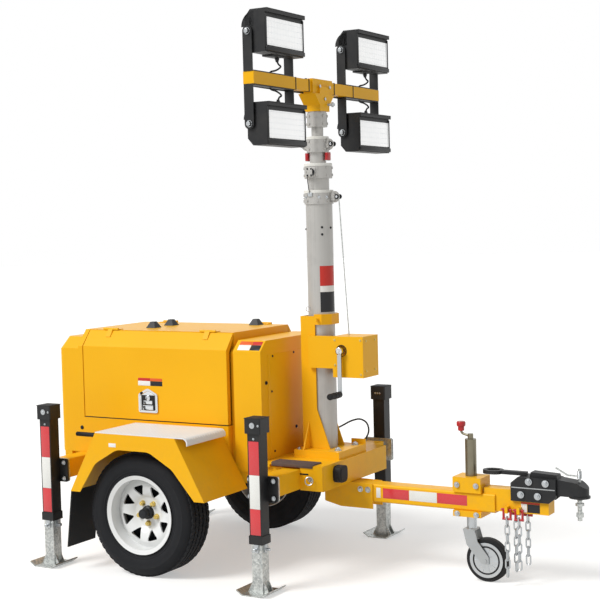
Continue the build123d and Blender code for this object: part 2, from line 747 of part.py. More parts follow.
def front_deck():
    """Deck plate, front beam, side plates, mast platform, corner gussets and socket cap."""
    front = DECK_FRONT_X
    back = front - FRONT_BEAM_DEPTH
    width = DECK_HALF_WIDTH
    sheet = DECK_SHEET
    low = FRAME_BOTTOM - FRONT_BEAM_DROP
    deck = block(DECK_REAR_X, front, -width, width, DECK_TOP - DECK_PLATE, DECK_TOP)
    beam = block(back, front, -width, width, low, DECK_TOP - OVERLAP)
    under = DECK_TOP - DECK_PLATE - sheet
    beam -= block(back - OVERLAP, front - sheet, sheet - width, width - sheet, FRAME_BOTTOM, under)
    deck += beam
    guide_front = JACK_FRONT_X + GUIDE_SIZE / 2 + RUNNING_GAP
    pad = DECK_PAD
    for side in (-1, 1):
        y0 = min(side * width, side * (width - sheet))
        deck += block(guide_front, back + OVERLAP, y0, y0 + sheet, low, DECK_TOP - OVERLAP)
        pad_y = min(side * (width - pad), side * width)
        plate = DECK_TOP - DECK_PLATE + OVERLAP
        deck += block(DECK_REAR_X, DECK_REAR_X + pad * 2 / 3, pad_y, pad_y + pad,
                      FRAME_TOP + RUNNING_GAP, plate)
        gusset = (
            (front - OVERLAP, low),
            (front - OVERLAP, DECK_TOP - OVERLAP),
            (front - GUSSET_LEG, DECK_TOP - OVERLAP),
        )
        gusset_y = min(side * width, side * (width + sheet))
        deck += side_profile(gusset, gusset_y, gusset_y + sheet)
    platform = PLATFORM_HALF_WIDTH
    deck += block(PLATFORM_REAR_X, PLATFORM_FRONT_X, -platform, platform, DECK_TOP - OVERLAP, MAST_BASE_Z)
    wall_top = MAST_BASE_Z + DECK_LIP_RISE
    deck += block(POST_FLARE_X + sheet, PLATFORM_FRONT_X, platform - sheet, platform, DECK_TOP, wall_top)
    for y in (-PLATFORM_BOLT_Y, PLATFORM_BOLT_Y):
        head = extrude(RegularPolygon(PLATFORM_BOLT_RADIUS, 6), PLATFORM_BOLT_HEAD + OVERLAP)
        deck += Pos(PLATFORM_FRONT_X - PLATFORM_BOLT_INSET, y, MAST_BASE_Z - OVERLAP) * head
    half = SOCKET_SIZE / 2
    reach = front + SOCKET_REACH
    cap = block(front - OVERLAP, reach, SOCKET_Y - half, SOCKET_Y + half, SOCKET_Z - half, SOCKET_Z + half)
    deck += fillet(cap.edges().filter_by(Axis.X), SOCKET_ROUND)
    end = CABLE_ROUTE[-1]
    deck += rod_z(end[0], end[1], DECK_TOP - OVERLAP, end[2], CABLE_GLAND_RADIUS)
    return deck


def outrigger_beam(x, side):
    """Sliding square beam with its end plate."""
    z = (FRAME_BOTTOM + FRAME_TOP) / 2
    plate_in = JACK_Y - JACK_TUBE / 2 - 2 * FLANGE_THICKNESS
    beam = square_tube_y(x, BEAM_GAP / 2, plate_in + OVERLAP, z, BEAM_SIZE, BEAM_WALL)
    beam += flange_plate(x, z, plate_in)
    return beam if side > 0 else mirrored(beam)


def flange_plate(x, z, y0):
    """Rounded end plate that stands across Y."""
    half = FLANGE_LENGTH / 2
    high = FLANGE_HEIGHT / 2
    outline = ((x - half, z - high), (x + half, z - high), (x + half, z + high), (x - half, z + high))
    return rounded_profile(outline, FLANGE_ROUND, y0, y0 + FLANGE_THICKNESS)


def jack_tube(x, side):
    """Black square jack tube with its head, flange plate, bolts, collar and pull pins."""
    z = (FRAME_BOTTOM + FRAME_TOP) / 2
    y = JACK_Y
    tube = square_tube_z(x, y, JACK_BOTTOM, JACK_HEAD_BOTTOM + OVERLAP, JACK_TUBE, JACK_WALL)
    half = JACK_HEAD / 2
    head = block(x - half, x + half, y - half, y + half, JACK_HEAD_BOTTOM, JACK_TOP)
    head = chamfer(head.edges().filter_by(Axis.Z), JACK_HEAD_CHAMFER)
    socket_z = JACK_TOP - JACK_SOCKET_DROP
    head -= rod_y(x, y + half - JACK_SOCKET_DEPTH, y + half + OVERLAP, socket_z, JACK_SOCKET_RADIUS)
    tube += head
    collar_top = JACK_BOTTOM + JACK_COLLAR_HEIGHT
    tube += square_tube_z(x, y, JACK_BOTTOM, collar_top, JACK_COLLAR, 2 * JACK_WALL)
    near = LEG_SIZE / 2 + SLIDE_CLEARANCE
    far = near + JACK_EAR_SHEET
    wide = JACK_EAR / 2
    pin_z = JACK_BOTTOM - LEG_PIN_DROP
    ear_low = pin_z - 2 * LEG_PIN_RADIUS
    tube += block(x - wide, x + wide, y + near, y + far, ear_low, JACK_BOTTOM + OVERLAP)
    tube += block(x + near, x + far, y - wide, y + wide, ear_low, JACK_BOTTOM + OVERLAP)
    tube += rod_y(x, y + near, y + near + LEG_PIN_LENGTH, pin_z, LEG_PIN_RADIUS)
    tube += rod_x(x + near, x + near + LEG_PIN_LENGTH, y, pin_z, LEG_PIN_RADIUS)
    plate_in = y - JACK_TUBE / 2 - FLANGE_THICKNESS
    plate_out = plate_in + FLANGE_THICKNESS
    tube += flange_plate(x, z, plate_in)
    bolt_x = FLANGE_LENGTH / 2 - FLANGE_BOLT_INSET
    bolt_z = FLANGE_HEIGHT / 2 - FLANGE_BOLT_INSET
    for dx in (-bolt_x, bolt_x):
        for dz in (-bolt_z, bolt_z):
            end = plate_out + FLANGE_BOLT_HEAD
            tube += hex_head_y(x + dx, plate_out - OVERLAP, end, z + dz, FLANGE_BOLT_RADIUS)
    return tube if side > 0 else mirrored(tube)


def jack_leg(x, side):
    """Galvanised inner leg on a foot plate with turned up ends."""
    y = JACK_Y
    inside = FOOT_PLATE / 2
    leg = square_tube_z(x, y, FOOT_PLATE - OVERLAP, LEG_TOP, LEG_SIZE, LEG_WALL)
    half = FOOT_SIZE / 2
    flat = half - FOOT_LIP
    rise = FOOT_LIP_RISE
    outline = (
        (x - flat, 0),
        (x + flat, 0),
        (x + half, rise),
        (x + half - inside, rise + FOOT_PLATE),
        (x + flat - inside, FOOT_PLATE),
        (x - flat + inside, FOOT_PLATE),
        (x - half + inside, rise + FOOT_PLATE),
        (x - half, rise),
    )
    leg += side_profile(outline, y - half, y + half)
    rib = (
        (x - LEG_RIB_SPREAD, FOOT_PLATE - OVERLAP),
        (x + LEG_RIB_SPREAD, FOOT_PLATE - OVERLAP),
        (x + LEG_SIZE / 2 - OVERLAP, LEG_RIB_HEIGHT),
        (x - LEG_SIZE / 2 + OVERLAP, LEG_RIB_HEIGHT),
    )
    for offset in (-LEG_RIB_Y, LEG_RIB_Y):
        middle = y + offset
        leg += side_profile(rib, middle - LEG_RIB_SHEET / 2, middle + LEG_RIB_SHEET / 2)
    return leg if side > 0 else mirrored(leg)


def canopy_outline(half_width, bottom, fold, top, roof_half, inset=0):
    """End outline of a folded canopy, taken in by inset on every side."""
    slope = math.hypot(half_width - roof_half, top - fold)
    corner = inset * (slope - (half_width - roof_half)) / max(top - fold, 1)
    shoulder = inset * (slope - (top - fold)) / max(half_width - roof_half, 1)
    return (
        (-half_width + inset, bottom + inset),
        (half_width - inset, bottom + inset),
        (half_width - inset, fold - shoulder),
        (roof_half - corner, top - inset),
        (-roof_half + corner, top - inset),
        (-half_width + inset, fold - shoulder),
    )


def hinge_axis():
    """Y and Z of the left door's hinge line."""
    return ROOF_HALF_WIDTH + DOOR_GAP / 2, CANOPY_TOP + HINGE_LIFT


def canopy():
    """Hollow canopy: floor, sills, rear cap, front wall and roof strip, open where the doors sit."""
    bottom = CANOPY_BOTTOM + RUNNING_GAP
    sizes = (CANOPY_HALF_WIDTH, bottom, CANOPY_FOLD, CANOPY_TOP, ROOF_HALF_WIDTH)
    outer = end_profile(canopy_outline(*sizes), DOOR_REAR_X - PANEL, CANOPY_FRONT_X)
    inner = end_profile(canopy_outline(*sizes, inset=PANEL), DOOR_REAR_X, CANOPY_FRONT_X - PANEL)
    low = REAR_CAP_DROP
    rear_sizes = (CANOPY_HALF_WIDTH, bottom, CANOPY_FOLD - low / 3, CANOPY_TOP - low, ROOF_HALF_WIDTH)
    cap = end_profile(canopy_outline(*rear_sizes), CANOPY_REAR_X, DOOR_REAR_X - PANEL + OVERLAP)
    rear_edges = cap.faces().sort_by(Axis.X)[0].edges()
    cap = fillet(rear_edges.filter_by(Axis.Y, reverse=True), REAR_CAP_ROUND)
    cap_outline = canopy_outline(*rear_sizes, inset=PANEL)
    cap_inner = end_profile(cap_outline, CANOPY_REAR_X + PANEL, DOOR_REAR_X + OVERLAP)
    shell = outer + cap - inner - cap_inner
    for side in (-1, 1):
        edges = (side * ROOF_HALF_WIDTH, side * (CANOPY_HALF_WIDTH + OVERLAP))
        top = CANOPY_TOP + OVERLAP
        shell -= block(DOOR_REAR_X, CANOPY_FRONT_X + OVERLAP, min(edges), max(edges), DOOR_BOTTOM, top)
        for x in HINGE_X:
            shell = fixed_hinge(shell, x, side)
    return shell


def fixed_hinge(shell, x, side):
    """Roof half of one hinge: a leaf and knuckle at each end, bored for the door's pin."""
    axis_y, axis_z = hinge_axis()
    y = side * axis_y
    leaf = (y, side * (axis_y - HINGE_LEAF))
    inner = HINGE_KNUCKLE_HALF
    outer = HINGE_HALF_LENGTH
    bore = HINGE_PIN_RADIUS + HINGE_PIN_CLEARANCE
    for x0, x1 in ((x - outer, x - inner), (x + inner, x + outer)):
        shell += block(x0, x1, min(leaf), max(leaf), CANOPY_TOP - OVERLAP, CANOPY_TOP + HINGE_LEAF_SHEET)
        shell += rod_x(x0, x1, y, axis_z, HINGE_RADIUS)
        shell -= rod_x(x0 - OVERLAP, x1 + OVERLAP, y, axis_z, bore)
    return shell - rod_x(x - inner, x + inner, y, axis_z, HINGE_RADIUS + RUNNING_GAP)


def canopy_door(side):
    """Gull wing door: flat side, folded shoulder, latch plate; hinged at the roof edge."""
    half = CANOPY_HALF_WIDTH
    x0 = DOOR_REAR_X + DOOR_GAP
    x1 = CANOPY_FRONT_X - OVERLAP
    roof = ROOF_HALF_WIDTH + DOOR_GAP
    top = CANOPY_TOP - DOOR_ROOF_DROP
    points = (
        (half, DOOR_BOTTOM + DOOR_GAP),
        (half, CANOPY_FOLD),
        (roof, top),
        (roof, top - PANEL),
        (half - PANEL, CANOPY_FOLD - PANEL * 0.4),
        (half - PANEL, DOOR_BOTTOM + DOOR_GAP),
    )
    door = end_profile(points, x0, x1)
    plate = (
        (LATCH_X0, LATCH_BOTTOM),
        (LATCH_X1, LATCH_BOTTOM),
        (LATCH_X1, LATCH_SHOULDER),
        ((LATCH_X0 + LATCH_X1) / 2, LATCH_TOP),
        (LATCH_X0, LATCH_SHOULDER),
    )
    door += side_profile(plate, half - OVERLAP, half + LATCH_RISE)
    axis_y, axis_z = hinge_axis()
    slope = math.hypot(half - roof, CANOPY_FOLD - top)
    along = ((half - roof) / slope, (CANOPY_FOLD - top) / slope)
    out = (-along[1], along[0])
    foot = (roof + along[0] * HINGE_LEAF, top + along[1] * HINGE_LEAF)
    crest = axis_z + HINGE_RADIUS * 0.7
    leaf = (
        (axis_y, axis_z - HINGE_RADIUS),
        (roof + along[0] * HINGE_LEAF_SHEET, top - OVERLAP + along[1] * HINGE_LEAF_SHEET),
        (foot[0] - out[0], foot[1] - out[1]),
        (foot[0] + out[0] * HINGE_LEAF_SHEET, foot[1] + out[1] * HINGE_LEAF_SHEET),
        (axis_y + HINGE_LEAF_SHEET, crest),
        (axis_y, crest),
    )
    for x in HINGE_X:
        knuckle = HINGE_KNUCKLE_HALF - RUNNING_GAP
        door += end_profile(leaf, x - knuckle, x + knuckle)
        door += rod_x(x - knuckle, x + knuckle, axis_y, axis_z, HINGE_RADIUS)
        door += rod_x(x - HINGE_HALF_LENGTH, x + HINGE_HALF_LENGTH, axis_y, axis_z, HINGE_PIN_RADIUS)
    return door if side > 0 else mirrored(door)


def roof_caps():
    """Black pyramid caps over the roof's lifting and vent points."""
    caps = []
    low = CANOPY_TOP + RUNNING_GAP
    for x, y in ROOF_CAPS:
        base = Plane((x, y, low)) * Rectangle(ROOF_CAP_SIZE, ROOF_CAP_SIZE)
        tip = Plane((x, y, low + ROOF_CAP_HEIGHT)) * Rectangle(ROOF_CAP_TOP_SIZE, ROOF_CAP_TOP_SIZE)
        caps.append(loft([base.face(), tip.face()]))
    return Compound(caps)


def engine_block():
    """Engine and generator as one plain block on its feet."""
    floor = CANOPY_BOTTOM + RUNNING_GAP + PANEL
    half = ENGINE_WIDTH / 2
    x1 = ENGINE_REAR_X + ENGINE_LENGTH
    top = floor + ENGINE_FEET + ENGINE_HEIGHT
    body = block(ENGINE_REAR_X, x1, -half, half, floor + ENGINE_FEET, top)
    foot = ENGINE_FOOT_HALF
    low = floor + RUNNING_GAP
    for x in (ENGINE_REAR_X + ENGINE_FOOT_INSET, x1 - ENGINE_FOOT_INSET):
        for y in (-half + ENGINE_FOOT_INSET / 2, half - ENGINE_FOOT_INSET / 2):
            body += block(x - foot, x + foot, y - foot, y + foot, low, floor + ENGINE_FEET + OVERLAP)
    return body


def control_cabinet():
    """Front cabinet with folded shoulders and the neck that joins it to the canopy."""
    sizes = (CABINET_HALF_WIDTH, CABINET_BOTTOM, CABINET_FOLD, CABINET_TOP, CABINET_ROOF_HALF_WIDTH)
    body = end_profile(canopy_outline(*sizes), CABINET_REAR_X, CABINET_FRONT_X)
    neck_outline = canopy_outline(*sizes, inset=NECK_INSET)
    body += end_profile(neck_outline, CANOPY_FRONT_X + RUNNING_GAP, CABINET_REAR_X + OVERLAP)
    hollow_rear = CABINET_REAR_X + CABINET_BACK_SHEET
    hollow_front = CABINET_FRONT_X - CABINET_FRONT_SHEET
    body -= end_profile(canopy_outline(*sizes, inset=PANEL), hollow_rear, hollow_front)
    x0 = CANOPY_FRONT_X - OVERLAP
    x1 = CABINET_FRONT_X + OVERLAP
    y = RAIL_Y + RAIL_WIDTH / 2 + RUNNING_GAP
    body -= block(x0, x1, -y, y, CABINET_BOTTOM - OVERLAP, FRAME_TOP + RUNNING_GAP)
    return body


def fender(side):
    """Folded sheet mudguard with a flat top, sloped ends and a rounded arch in its skirt."""
    outer = (
        (FENDER_REAR_X, FENDER_REAR_Z),
        (FENDER_TOP_REAR_X, FENDER_TOP),
        (FENDER_TOP_FRONT_X, FENDER_TOP),
        (FENDER_FRONT_X, FENDER_FRONT_Z),
    )
    inner_y = CANOPY_HALF_WIDTH + RUNNING_GAP
    body = side_profile(outer, inner_y, FENDER_OUTER_Y)
    sheet = FENDER_SHEET
    slope = sheet * 1.5
    drop = FENDER_OPEN_DROP
    hollow = (
        (FENDER_REAR_X + slope, FENDER_REAR_Z - drop),
        (FENDER_REAR_X + slope, FENDER_REAR_Z),
        (FENDER_TOP_REAR_X + slope, FENDER_TOP - sheet),
        (FENDER_TOP_FRONT_X - slope, FENDER_TOP - sheet),
        (FENDER_FRONT_X - slope, FENDER_FRONT_Z),
        (FENDER_FRONT_X - slope, FENDER_FRONT_Z - drop),
    )
    body -= side_profile(hollow, inner_y - OVERLAP, FENDER_OUTER_Y - sheet)
    body -= wheel_arch(FENDER_OUTER_Y - sheet - OVERLAP, FENDER_OUTER_Y + OVERLAP)
    if side > 0:
        return body
    body = mirrored(body)
    hole = HANDLE_ROD_RADIUS + RUNNING_GAP
    return body - rod_x(FENDER_REAR_X, FENDER_TOP_REAR_X + sheet, HANDLE_Y, HANDLE_Z, hole)


def wheel_arch(y0, y1):
    """Cutter for the skirt: an arch whose four upper corners are rounded."""
    drop = FENDER_OPEN_DROP
    outline = (
        (FENDER_REAR_X + ARCH_FOOT, FENDER_REAR_Z - drop),
        (FENDER_REAR_X + ARCH_FOOT, FENDER_REAR_Z),
        (-ARCH_CORNER_X, ARCH_CORNER_Z),
        (-ARCH_HALF_TOP, ARCH_TOP),
        (ARCH_HALF_TOP + ARCH_LEAD, ARCH_TOP),
        (ARCH_CORNER_X + ARCH_LEAD, ARCH_CORNER_Z),
        (FENDER_FRONT_X - ARCH_FOOT, FENDER_FRONT_Z),
        (FENDER_FRONT_X - ARCH_FOOT, FENDER_FRONT_Z - drop),
    )
    face = make_face(Plane.XZ * Polyline(*outline, close=True))
    corners = [corner for corner in face.vertices() if corner.Z > FENDER_FRONT_Z + ARCH_FOOT]
    face = fillet(corners, ARCH_ROUND)
    return Pos(0, y1, 0) * extrude(face, y1 - y0, dir=(0, -1, 0))


def step_plate(side):
    """Tread plate on the mudguard with its front end rolled down."""
    low = FENDER_TOP + RUNNING_GAP
    high = low + STEP_PLATE
    end = STEP_FRONT_X + STEP_LIP / 2
    drop = low - STEP_LIP * 0.85
    curl = STEP_CURL
    roll_low = ThreePointArc((STEP_FRONT_X, low), (STEP_FRONT_X + curl * 0.7, low - curl * 0.3), (end, drop))
    tip = (end + STEP_PLATE, drop + STEP_PLATE / 2)
    roll_high = ThreePointArc(tip, (STEP_FRONT_X + curl, high - curl * 0.3), (STEP_FRONT_X, high))
    rear = FENDER_TOP_REAR_X
    edges = (
        Line((rear, low), (STEP_FRONT_X, low)),
        roll_low,
        Line((end, drop), tip),
        roll_high,
        Line((STEP_FRONT_X, high), (rear, high)),
        Line((rear, high), (rear, low)),
    )
    face = make_face([Plane.XZ * edge for edge in edges])
    y1 = FENDER_OUTER_Y - FENDER_SHEET / 2
    plate = Pos(0, y1, 0) * extrude(face, y1 - STEP_INNER_Y, dir=(0, -1, 0))
    return plate if side > 0 else mirrored(plate)


def mudflap(side):
    """Rubber flap hung behind the wheel from the mudguard's rear edge."""
    top = FENDER_REAR_Z - RUNNING_GAP
    x = FENDER_REAR_X
    outline = (
        (x - FLAP_THICKNESS / 4, top),
        (x + FLAP_THICKNESS * 3 / 4, top),
        (x - FLAP_LEAN, FLAP_BOTTOM),
        (x - FLAP_LEAN - FLAP_THICKNESS, FLAP_BOTTOM),
    )
    flap = side_profile(outline, FLAP_INNER_Y, FLAP_OUTER_Y)
    return flap if side > 0 else mirrored(flap)


def crank_handle():
    """Crank handle for the jacks: rubber grip on a bar stowed through the mudguard."""
    x0 = HANDLE_GRIP_REAR_X
    x1 = x0 + HANDLE_GRIP_LENGTH
    handle = rod_x(x1 - OVERLAP, HANDLE_ROD_END_X, HANDLE_Y, HANDLE_Z, HANDLE_ROD_RADIUS)
    grip = rod_x(x0, x1, HANDLE_Y, HANDLE_Z, HANDLE_GRIP_RADIUS)
    return handle + fillet(grip.edges(), HANDLE_GRIP_RADIUS / 3)


def mast_support():
    """Channel post behind the mast, flared at its foot, with ribs, top clamp and cable gland."""
    base = MAST_BASE_Z + RUNNING_GAP
    outline = (
        (POST_REAR_X, base),
        (POST_FLARE_X, base),
        (POST_FRONT_X, POST_FLARE_Z),
        (POST_FRONT_X, POST_TOP),
        (POST_REAR_X, POST_TOP),
    )
    wide = POST_HALF_WIDTH
    inner = wide - POST_PLATE
    post = side_profile(outline, inner, wide)
    post += side_profile(outline, -wide, -inner)
    post += block(POST_REAR_X, POST_REAR_X + POST_PLATE, -wide, wide, base, POST_TOP)
    for side in (-1, 1):
        y = side * (wide - OVERLAP)
        rib = ((y, base), (y + side * RIB_REACH, base), (y, base + RIB_HEIGHT))
        post += end_profile(rib, POST_REAR_X + RIB_INSET, POST_REAR_X + RIB_INSET + RIB_SHEET)
    tube = MAST_TUBES[0][0] / 2 + RUNNING_GAP
    shoulder = MAST_X + CLAMP_SHOULDER_X
    nose = MAST_X + tube + CLAMP_WALL
    side_y = wide + CLAMP_WALL / 4
    ring = (
        (POST_FRONT_X - 2 * OVERLAP, -side_y),
        (shoulder, -side_y),
        (nose, -CLAMP_HALF_FRONT),
        (nose, CLAMP_HALF_FRONT),
        (shoulder, side_y),
        (POST_FRONT_X - 2 * OVERLAP, side_y),
    )
    clamp_face = make_face(Polyline(*ring, close=True))
    clamp = Pos(0, 0, CLAMP_BOTTOM) * extrude(clamp_face, CLAMP_TOP - CLAMP_BOTTOM)
    clamp -= rod_z(MAST_X, 0, CLAMP_BOTTOM - OVERLAP, CLAMP_TOP + OVERLAP, tube)
    middle = (CLAMP_BOTTOM + CLAMP_TOP) / 2
    pin_x = (POST_FRONT_X + shoulder) / 2
    clamp += rod_y(pin_x, -side_y - CLAMP_PIN_REACH, -side_y + OVERLAP, middle, CLAMP_PIN_RADIUS)
    head_y = -side_y - CLAMP_PIN_REACH
    clamp += rod_y(pin_x, head_y - CLAMP_PIN_RADIUS, head_y, middle, CLAMP_PIN_HEAD)
    start = CABLE_ROUTE[0]
    gland = rod_y(start[0], wide - OVERLAP, start[1], start[2], CABLE_GLAND_RADIUS)
    return post + clamp + gland


def supply_cable():
    """Cable held between the post's gland and the deck's gland: runs joined by arcs."""
    points = [Vector(*point) for point in CABLE_ROUTE]
    first = points[0] + Vector(0, RUNNING_GAP, 0)
    last = points[-1] + Vector(0, 0, RUNNING_GAP)
    points = [first] + points[1:-1] + [last]
    radii = []
    for before, corner, after in zip(points, points[1:], points[2:]):
        turn = (corner - before).get_angle(after - corner)
        run = min((corner - before).length, (after - corner).length)
        radii.append(0.45 * run / math.tan(math.radians(turn / 2)))
    print("cable bend radii", [round(radius) for radius in radii])
    path = FilletPolyline(*points, radius=radii)
    print("cable length", round(path.length))
    return sweep(Plane(path @ 0, z_dir=path % 0) * Circle(CABLE_RADIUS), path)


def collar_bolts(diameter, bottom, top):
    """Screw heads round a collar, in a row near its lower and its upper edge."""
    heads = []
    for turn in range(COLLAR_BOLT_COUNT):
        angle = 360 / COLLAR_BOLT_COUNT * (turn + 0.5)
        for z in (bottom + COLLAR_BOLT_EDGE, top - COLLAR_BOLT_EDGE):
            seat = diameter / 2
            head = rod_x(seat - OVERLAP * 2, seat + COLLAR_BOLT_HEAD, 0, 0, COLLAR_BOLT_RADIUS)
            heads.append(Pos(MAST_X, 0, z) * Rot(0, 0, angle) * head)
    return heads


def grooved_pulley(x, z):
    """Rope pulley across Y with a groove in its rim and a hub that ends in its cheeks."""
    half = PULLEY_WIDTH / 2
    points = (
        (0, -half),
        (PULLEY_RADIUS, -half),
        (PULLEY_RADIUS - PULLEY_GROOVE, 0),
        (PULLEY_RADIUS, half),
        (0, half),
    )
    reach = half + PULLEY_CHEEK + OVERLAP
    return turned(points, x, 0, z) + rod_y(x, -reach, reach, z, PULLEY_HUB_RADIUS)


def mast_tube(index):
    """One telescopic mast tube with its bolted collar, wear ring, pulleys and stops."""
    diameter, collar_diameter, collar_bottom, collar_top, pulley_reach, pulley_ends = MAST_TUBES[index]
    radius = diameter / 2
    bottom = MAST_BASE_Z + RUNNING_GAP + MAST_STEP * index
    tube = rod_z(MAST_X, 0, bottom, collar_top - OVERLAP, radius)
    outer = collar_diameter / 2
    top = collar_top - WEAR_RING_HEIGHT
    tube += rod_z(MAST_X, 0, collar_bottom, top, outer)
    tube += rod_z(MAST_X, 0, top - OVERLAP, collar_top, outer - WEAR_RING_INSET)
    for head in collar_bolts(collar_diameter, collar_bottom, top):
        tube += head
    z = (collar_bottom + collar_top) / 2
    for end in pulley_ends:
        centre = MAST_X + end * (outer + pulley_reach)
        root = MAST_X + end * (outer - PULLEY_CHEEK)
        tip = centre + end * PULLEY_CHEEK_REACH
        for y in (-PULLEY_WIDTH / 2 - PULLEY_CHEEK, PULLEY_WIDTH / 2):
            low = z - PULLEY_CHEEK_HALF
            high = z + PULLEY_CHEEK_HALF
            tube += block(min(root, tip), max(root, tip), y, y + PULLEY_CHEEK, low, high)
        tube += grooved_pulley(centre, z)
    if len(pulley_ends) > 1:
        for end in (-1, 1):
            reach = (MAST_X + end * STOP_INNER, MAST_X + end * STOP_REACH)
            half = STOP_WIDTH / 2
            low = collar_bottom - STOP_HEIGHT
            tube += block(min(reach), max(reach), -half, half, low, collar_bottom + OVERLAP)
    bore = radius - MAST_WALL
    tube -= rod_z(MAST_X, 0, bottom - OVERLAP, collar_bottom, bore)
    if index + 1 < len(MAST_TUBES):
        inner = MAST_TUBES[index + 1][0] / 2 + MAST_COLLAR_CLEARANCE
        tube -= rod_z(MAST_X, 0, collar_bottom - OVERLAP, collar_top + OVERLAP, inner)
    return tube


def rope_line():
    """Ends of the winch rope's straight run, from the first collar's pulley to the drum."""
    outer = MAST_TUBES[0][1] / 2
    pulley_x = MAST_X + outer + MAST_TUBES[0][4] + PULLEY_RADIUS - PULLEY_GROOVE
    pulley_z = (MAST_TUBES[0][2] + MAST_TUBES[0][3]) / 2
    high = Vector(pulley_x + ROPE_RADIUS + 2 * RUNNING_GAP, 0, pulley_z)
    low = Vector(DRUM_X - ROPE_RADIUS, 0, CRANK_Z + DRUM_RADIUS + RUNNING_GAP)
    return high, low


def winch_rope():
    """Taut steel rope that runs down from the first collar's pulley to the drum."""
    high, low = rope_line()
    path = Line(high, low)
    return sweep(Plane(path @ 0, z_dir=path % 0) * Circle(ROPE_RADIUS), path)


def winch_box():
    """Folded winch housing on the near side of the mast, with its drum and crank hole."""
    x0 = POST_FRONT_X - WINCH_ARM_REACH
    near = WINCH_NEAR_Y
    arm_y = -POST_HALF_WIDTH - RUNNING_GAP
    arm = block(x0, WINCH_BOX_REAR_X + OVERLAP, near, arm_y, WINCH_ARM_BOTTOM, WINCH_BOX_TOP)
    box = block(WINCH_BOX_REAR_X, WINCH_BOX_FRONT_X, near, WINCH_FAR_Y, WINCH_BOX_BOTTOM, WINCH_BOX_TOP)
    sheet = WINCH_SHEET
    box -= block(WINCH_BOX_REAR_X + sheet, WINCH_BOX_FRONT_X - sheet, near + sheet, WINCH_FAR_Y - sheet,
                 WINCH_BOX_BOTTOM - OVERLAP, WINCH_BOX_TOP - sheet)
    box -= rod_y(CRANK_X, near - OVERLAP, near + sheet + OVERLAP, CRANK_Z, CRANK_HOLE_RADIUS)
    drum = rod_y(DRUM_X, near + sheet + DRUM_NEAR_GAP, WINCH_FAR_Y - sheet + OVERLAP, CRANK_Z, DRUM_RADIUS)
    bearing_radius = CRANK_SHAFT_RADIUS + BEARING_WALL
    bearing = rod_y(CRANK_X, near + DRUM_NEAR_GAP, BEARING_FAR_Y, CRANK_Z, bearing_radius)
    box += drum + bearing
    box -= rod_y(CRANK_X, near, CRANK_BORE_FAR_Y, CRANK_Z, CRANK_SHAFT_RADIUS + CRANK_CLEARANCE)
    high, low = rope_line()
    share = (high.Z - WINCH_BOX_TOP) / (high.Z - low.Z)
    hole_x = high.X + (low.X - high.X) * share
    box -= rod_z(hole_x, 0, WINCH_BOX_TOP - 2 * sheet, WINCH_BOX_TOP + OVERLAP, ROPE_HOLE_RADIUS)
    return box + arm


def winch_crank():
    """Crank shaft, flat arm with rounded ends and round grip."""
    half = CRANK_ARM_SHEET / 2
    arm_y = CRANK_ARM_Y
    low = CRANK_Z - CRANK_ARM_LENGTH
    wide = CRANK_ARM_WIDTH / 2
    crank = rod_y(CRANK_X, arm_y - half, CRANK_SHAFT_END_Y, CRANK_Z, CRANK_SHAFT_RADIUS)
    crank += rod_y(CRANK_X, arm_y - half - OVERLAP, WINCH_NEAR_Y - OVERLAP, CRANK_Z, CRANK_HUB_RADIUS)
    crank += block(CRANK_X - wide, CRANK_X + wide, arm_y - half, arm_y + half, low, CRANK_Z)
    crank += rod_y(CRANK_X, arm_y - half, arm_y + half, low, wide)
    grip = rod_y(CRANK_X, arm_y - half - CRANK_GRIP_LENGTH, arm_y - half + OVERLAP, low, CRANK_GRIP_RADIUS)
    return crank + fillet(grip.faces().sort_by(Axis.Y)[0].edges(), CRANK_GRIP_RADIUS / 3)


def crossbar():
    """Square crossbar on a gusseted socket that slips over the last mast tube."""
    half = BAR_SIZE / 2
    sleeve = half + HEAD_SLEEVE
    stem = HEAD_STEM / 2
    stem_bottom = MAST_TUBES[-1][3] + RUNNING_GAP
    bar = block(MAST_X - half, MAST_X + half, -BAR_HALF_LENGTH, BAR_HALF_LENGTH, BAR_Z - half, BAR_Z + half)
    bar += block(MAST_X - sleeve, MAST_X + sleeve, -HEAD_HALF_WIDTH, HEAD_HALF_WIDTH,
                 BAR_Z - sleeve, BAR_Z + sleeve)
    bar += block(MAST_X - stem, MAST_X + stem, -stem, stem, stem_bottom, BAR_Z)
    web = end_profile((
        (stem - OVERLAP, BAR_Z - sleeve),
        (HEAD_HALF_WIDTH, BAR_Z - sleeve),
        (stem - OVERLAP, stem_bottom + HEAD_WEB_RISE),
    ), MAST_X - stem, MAST_X + stem)
    return bar + web + mirrored(web)


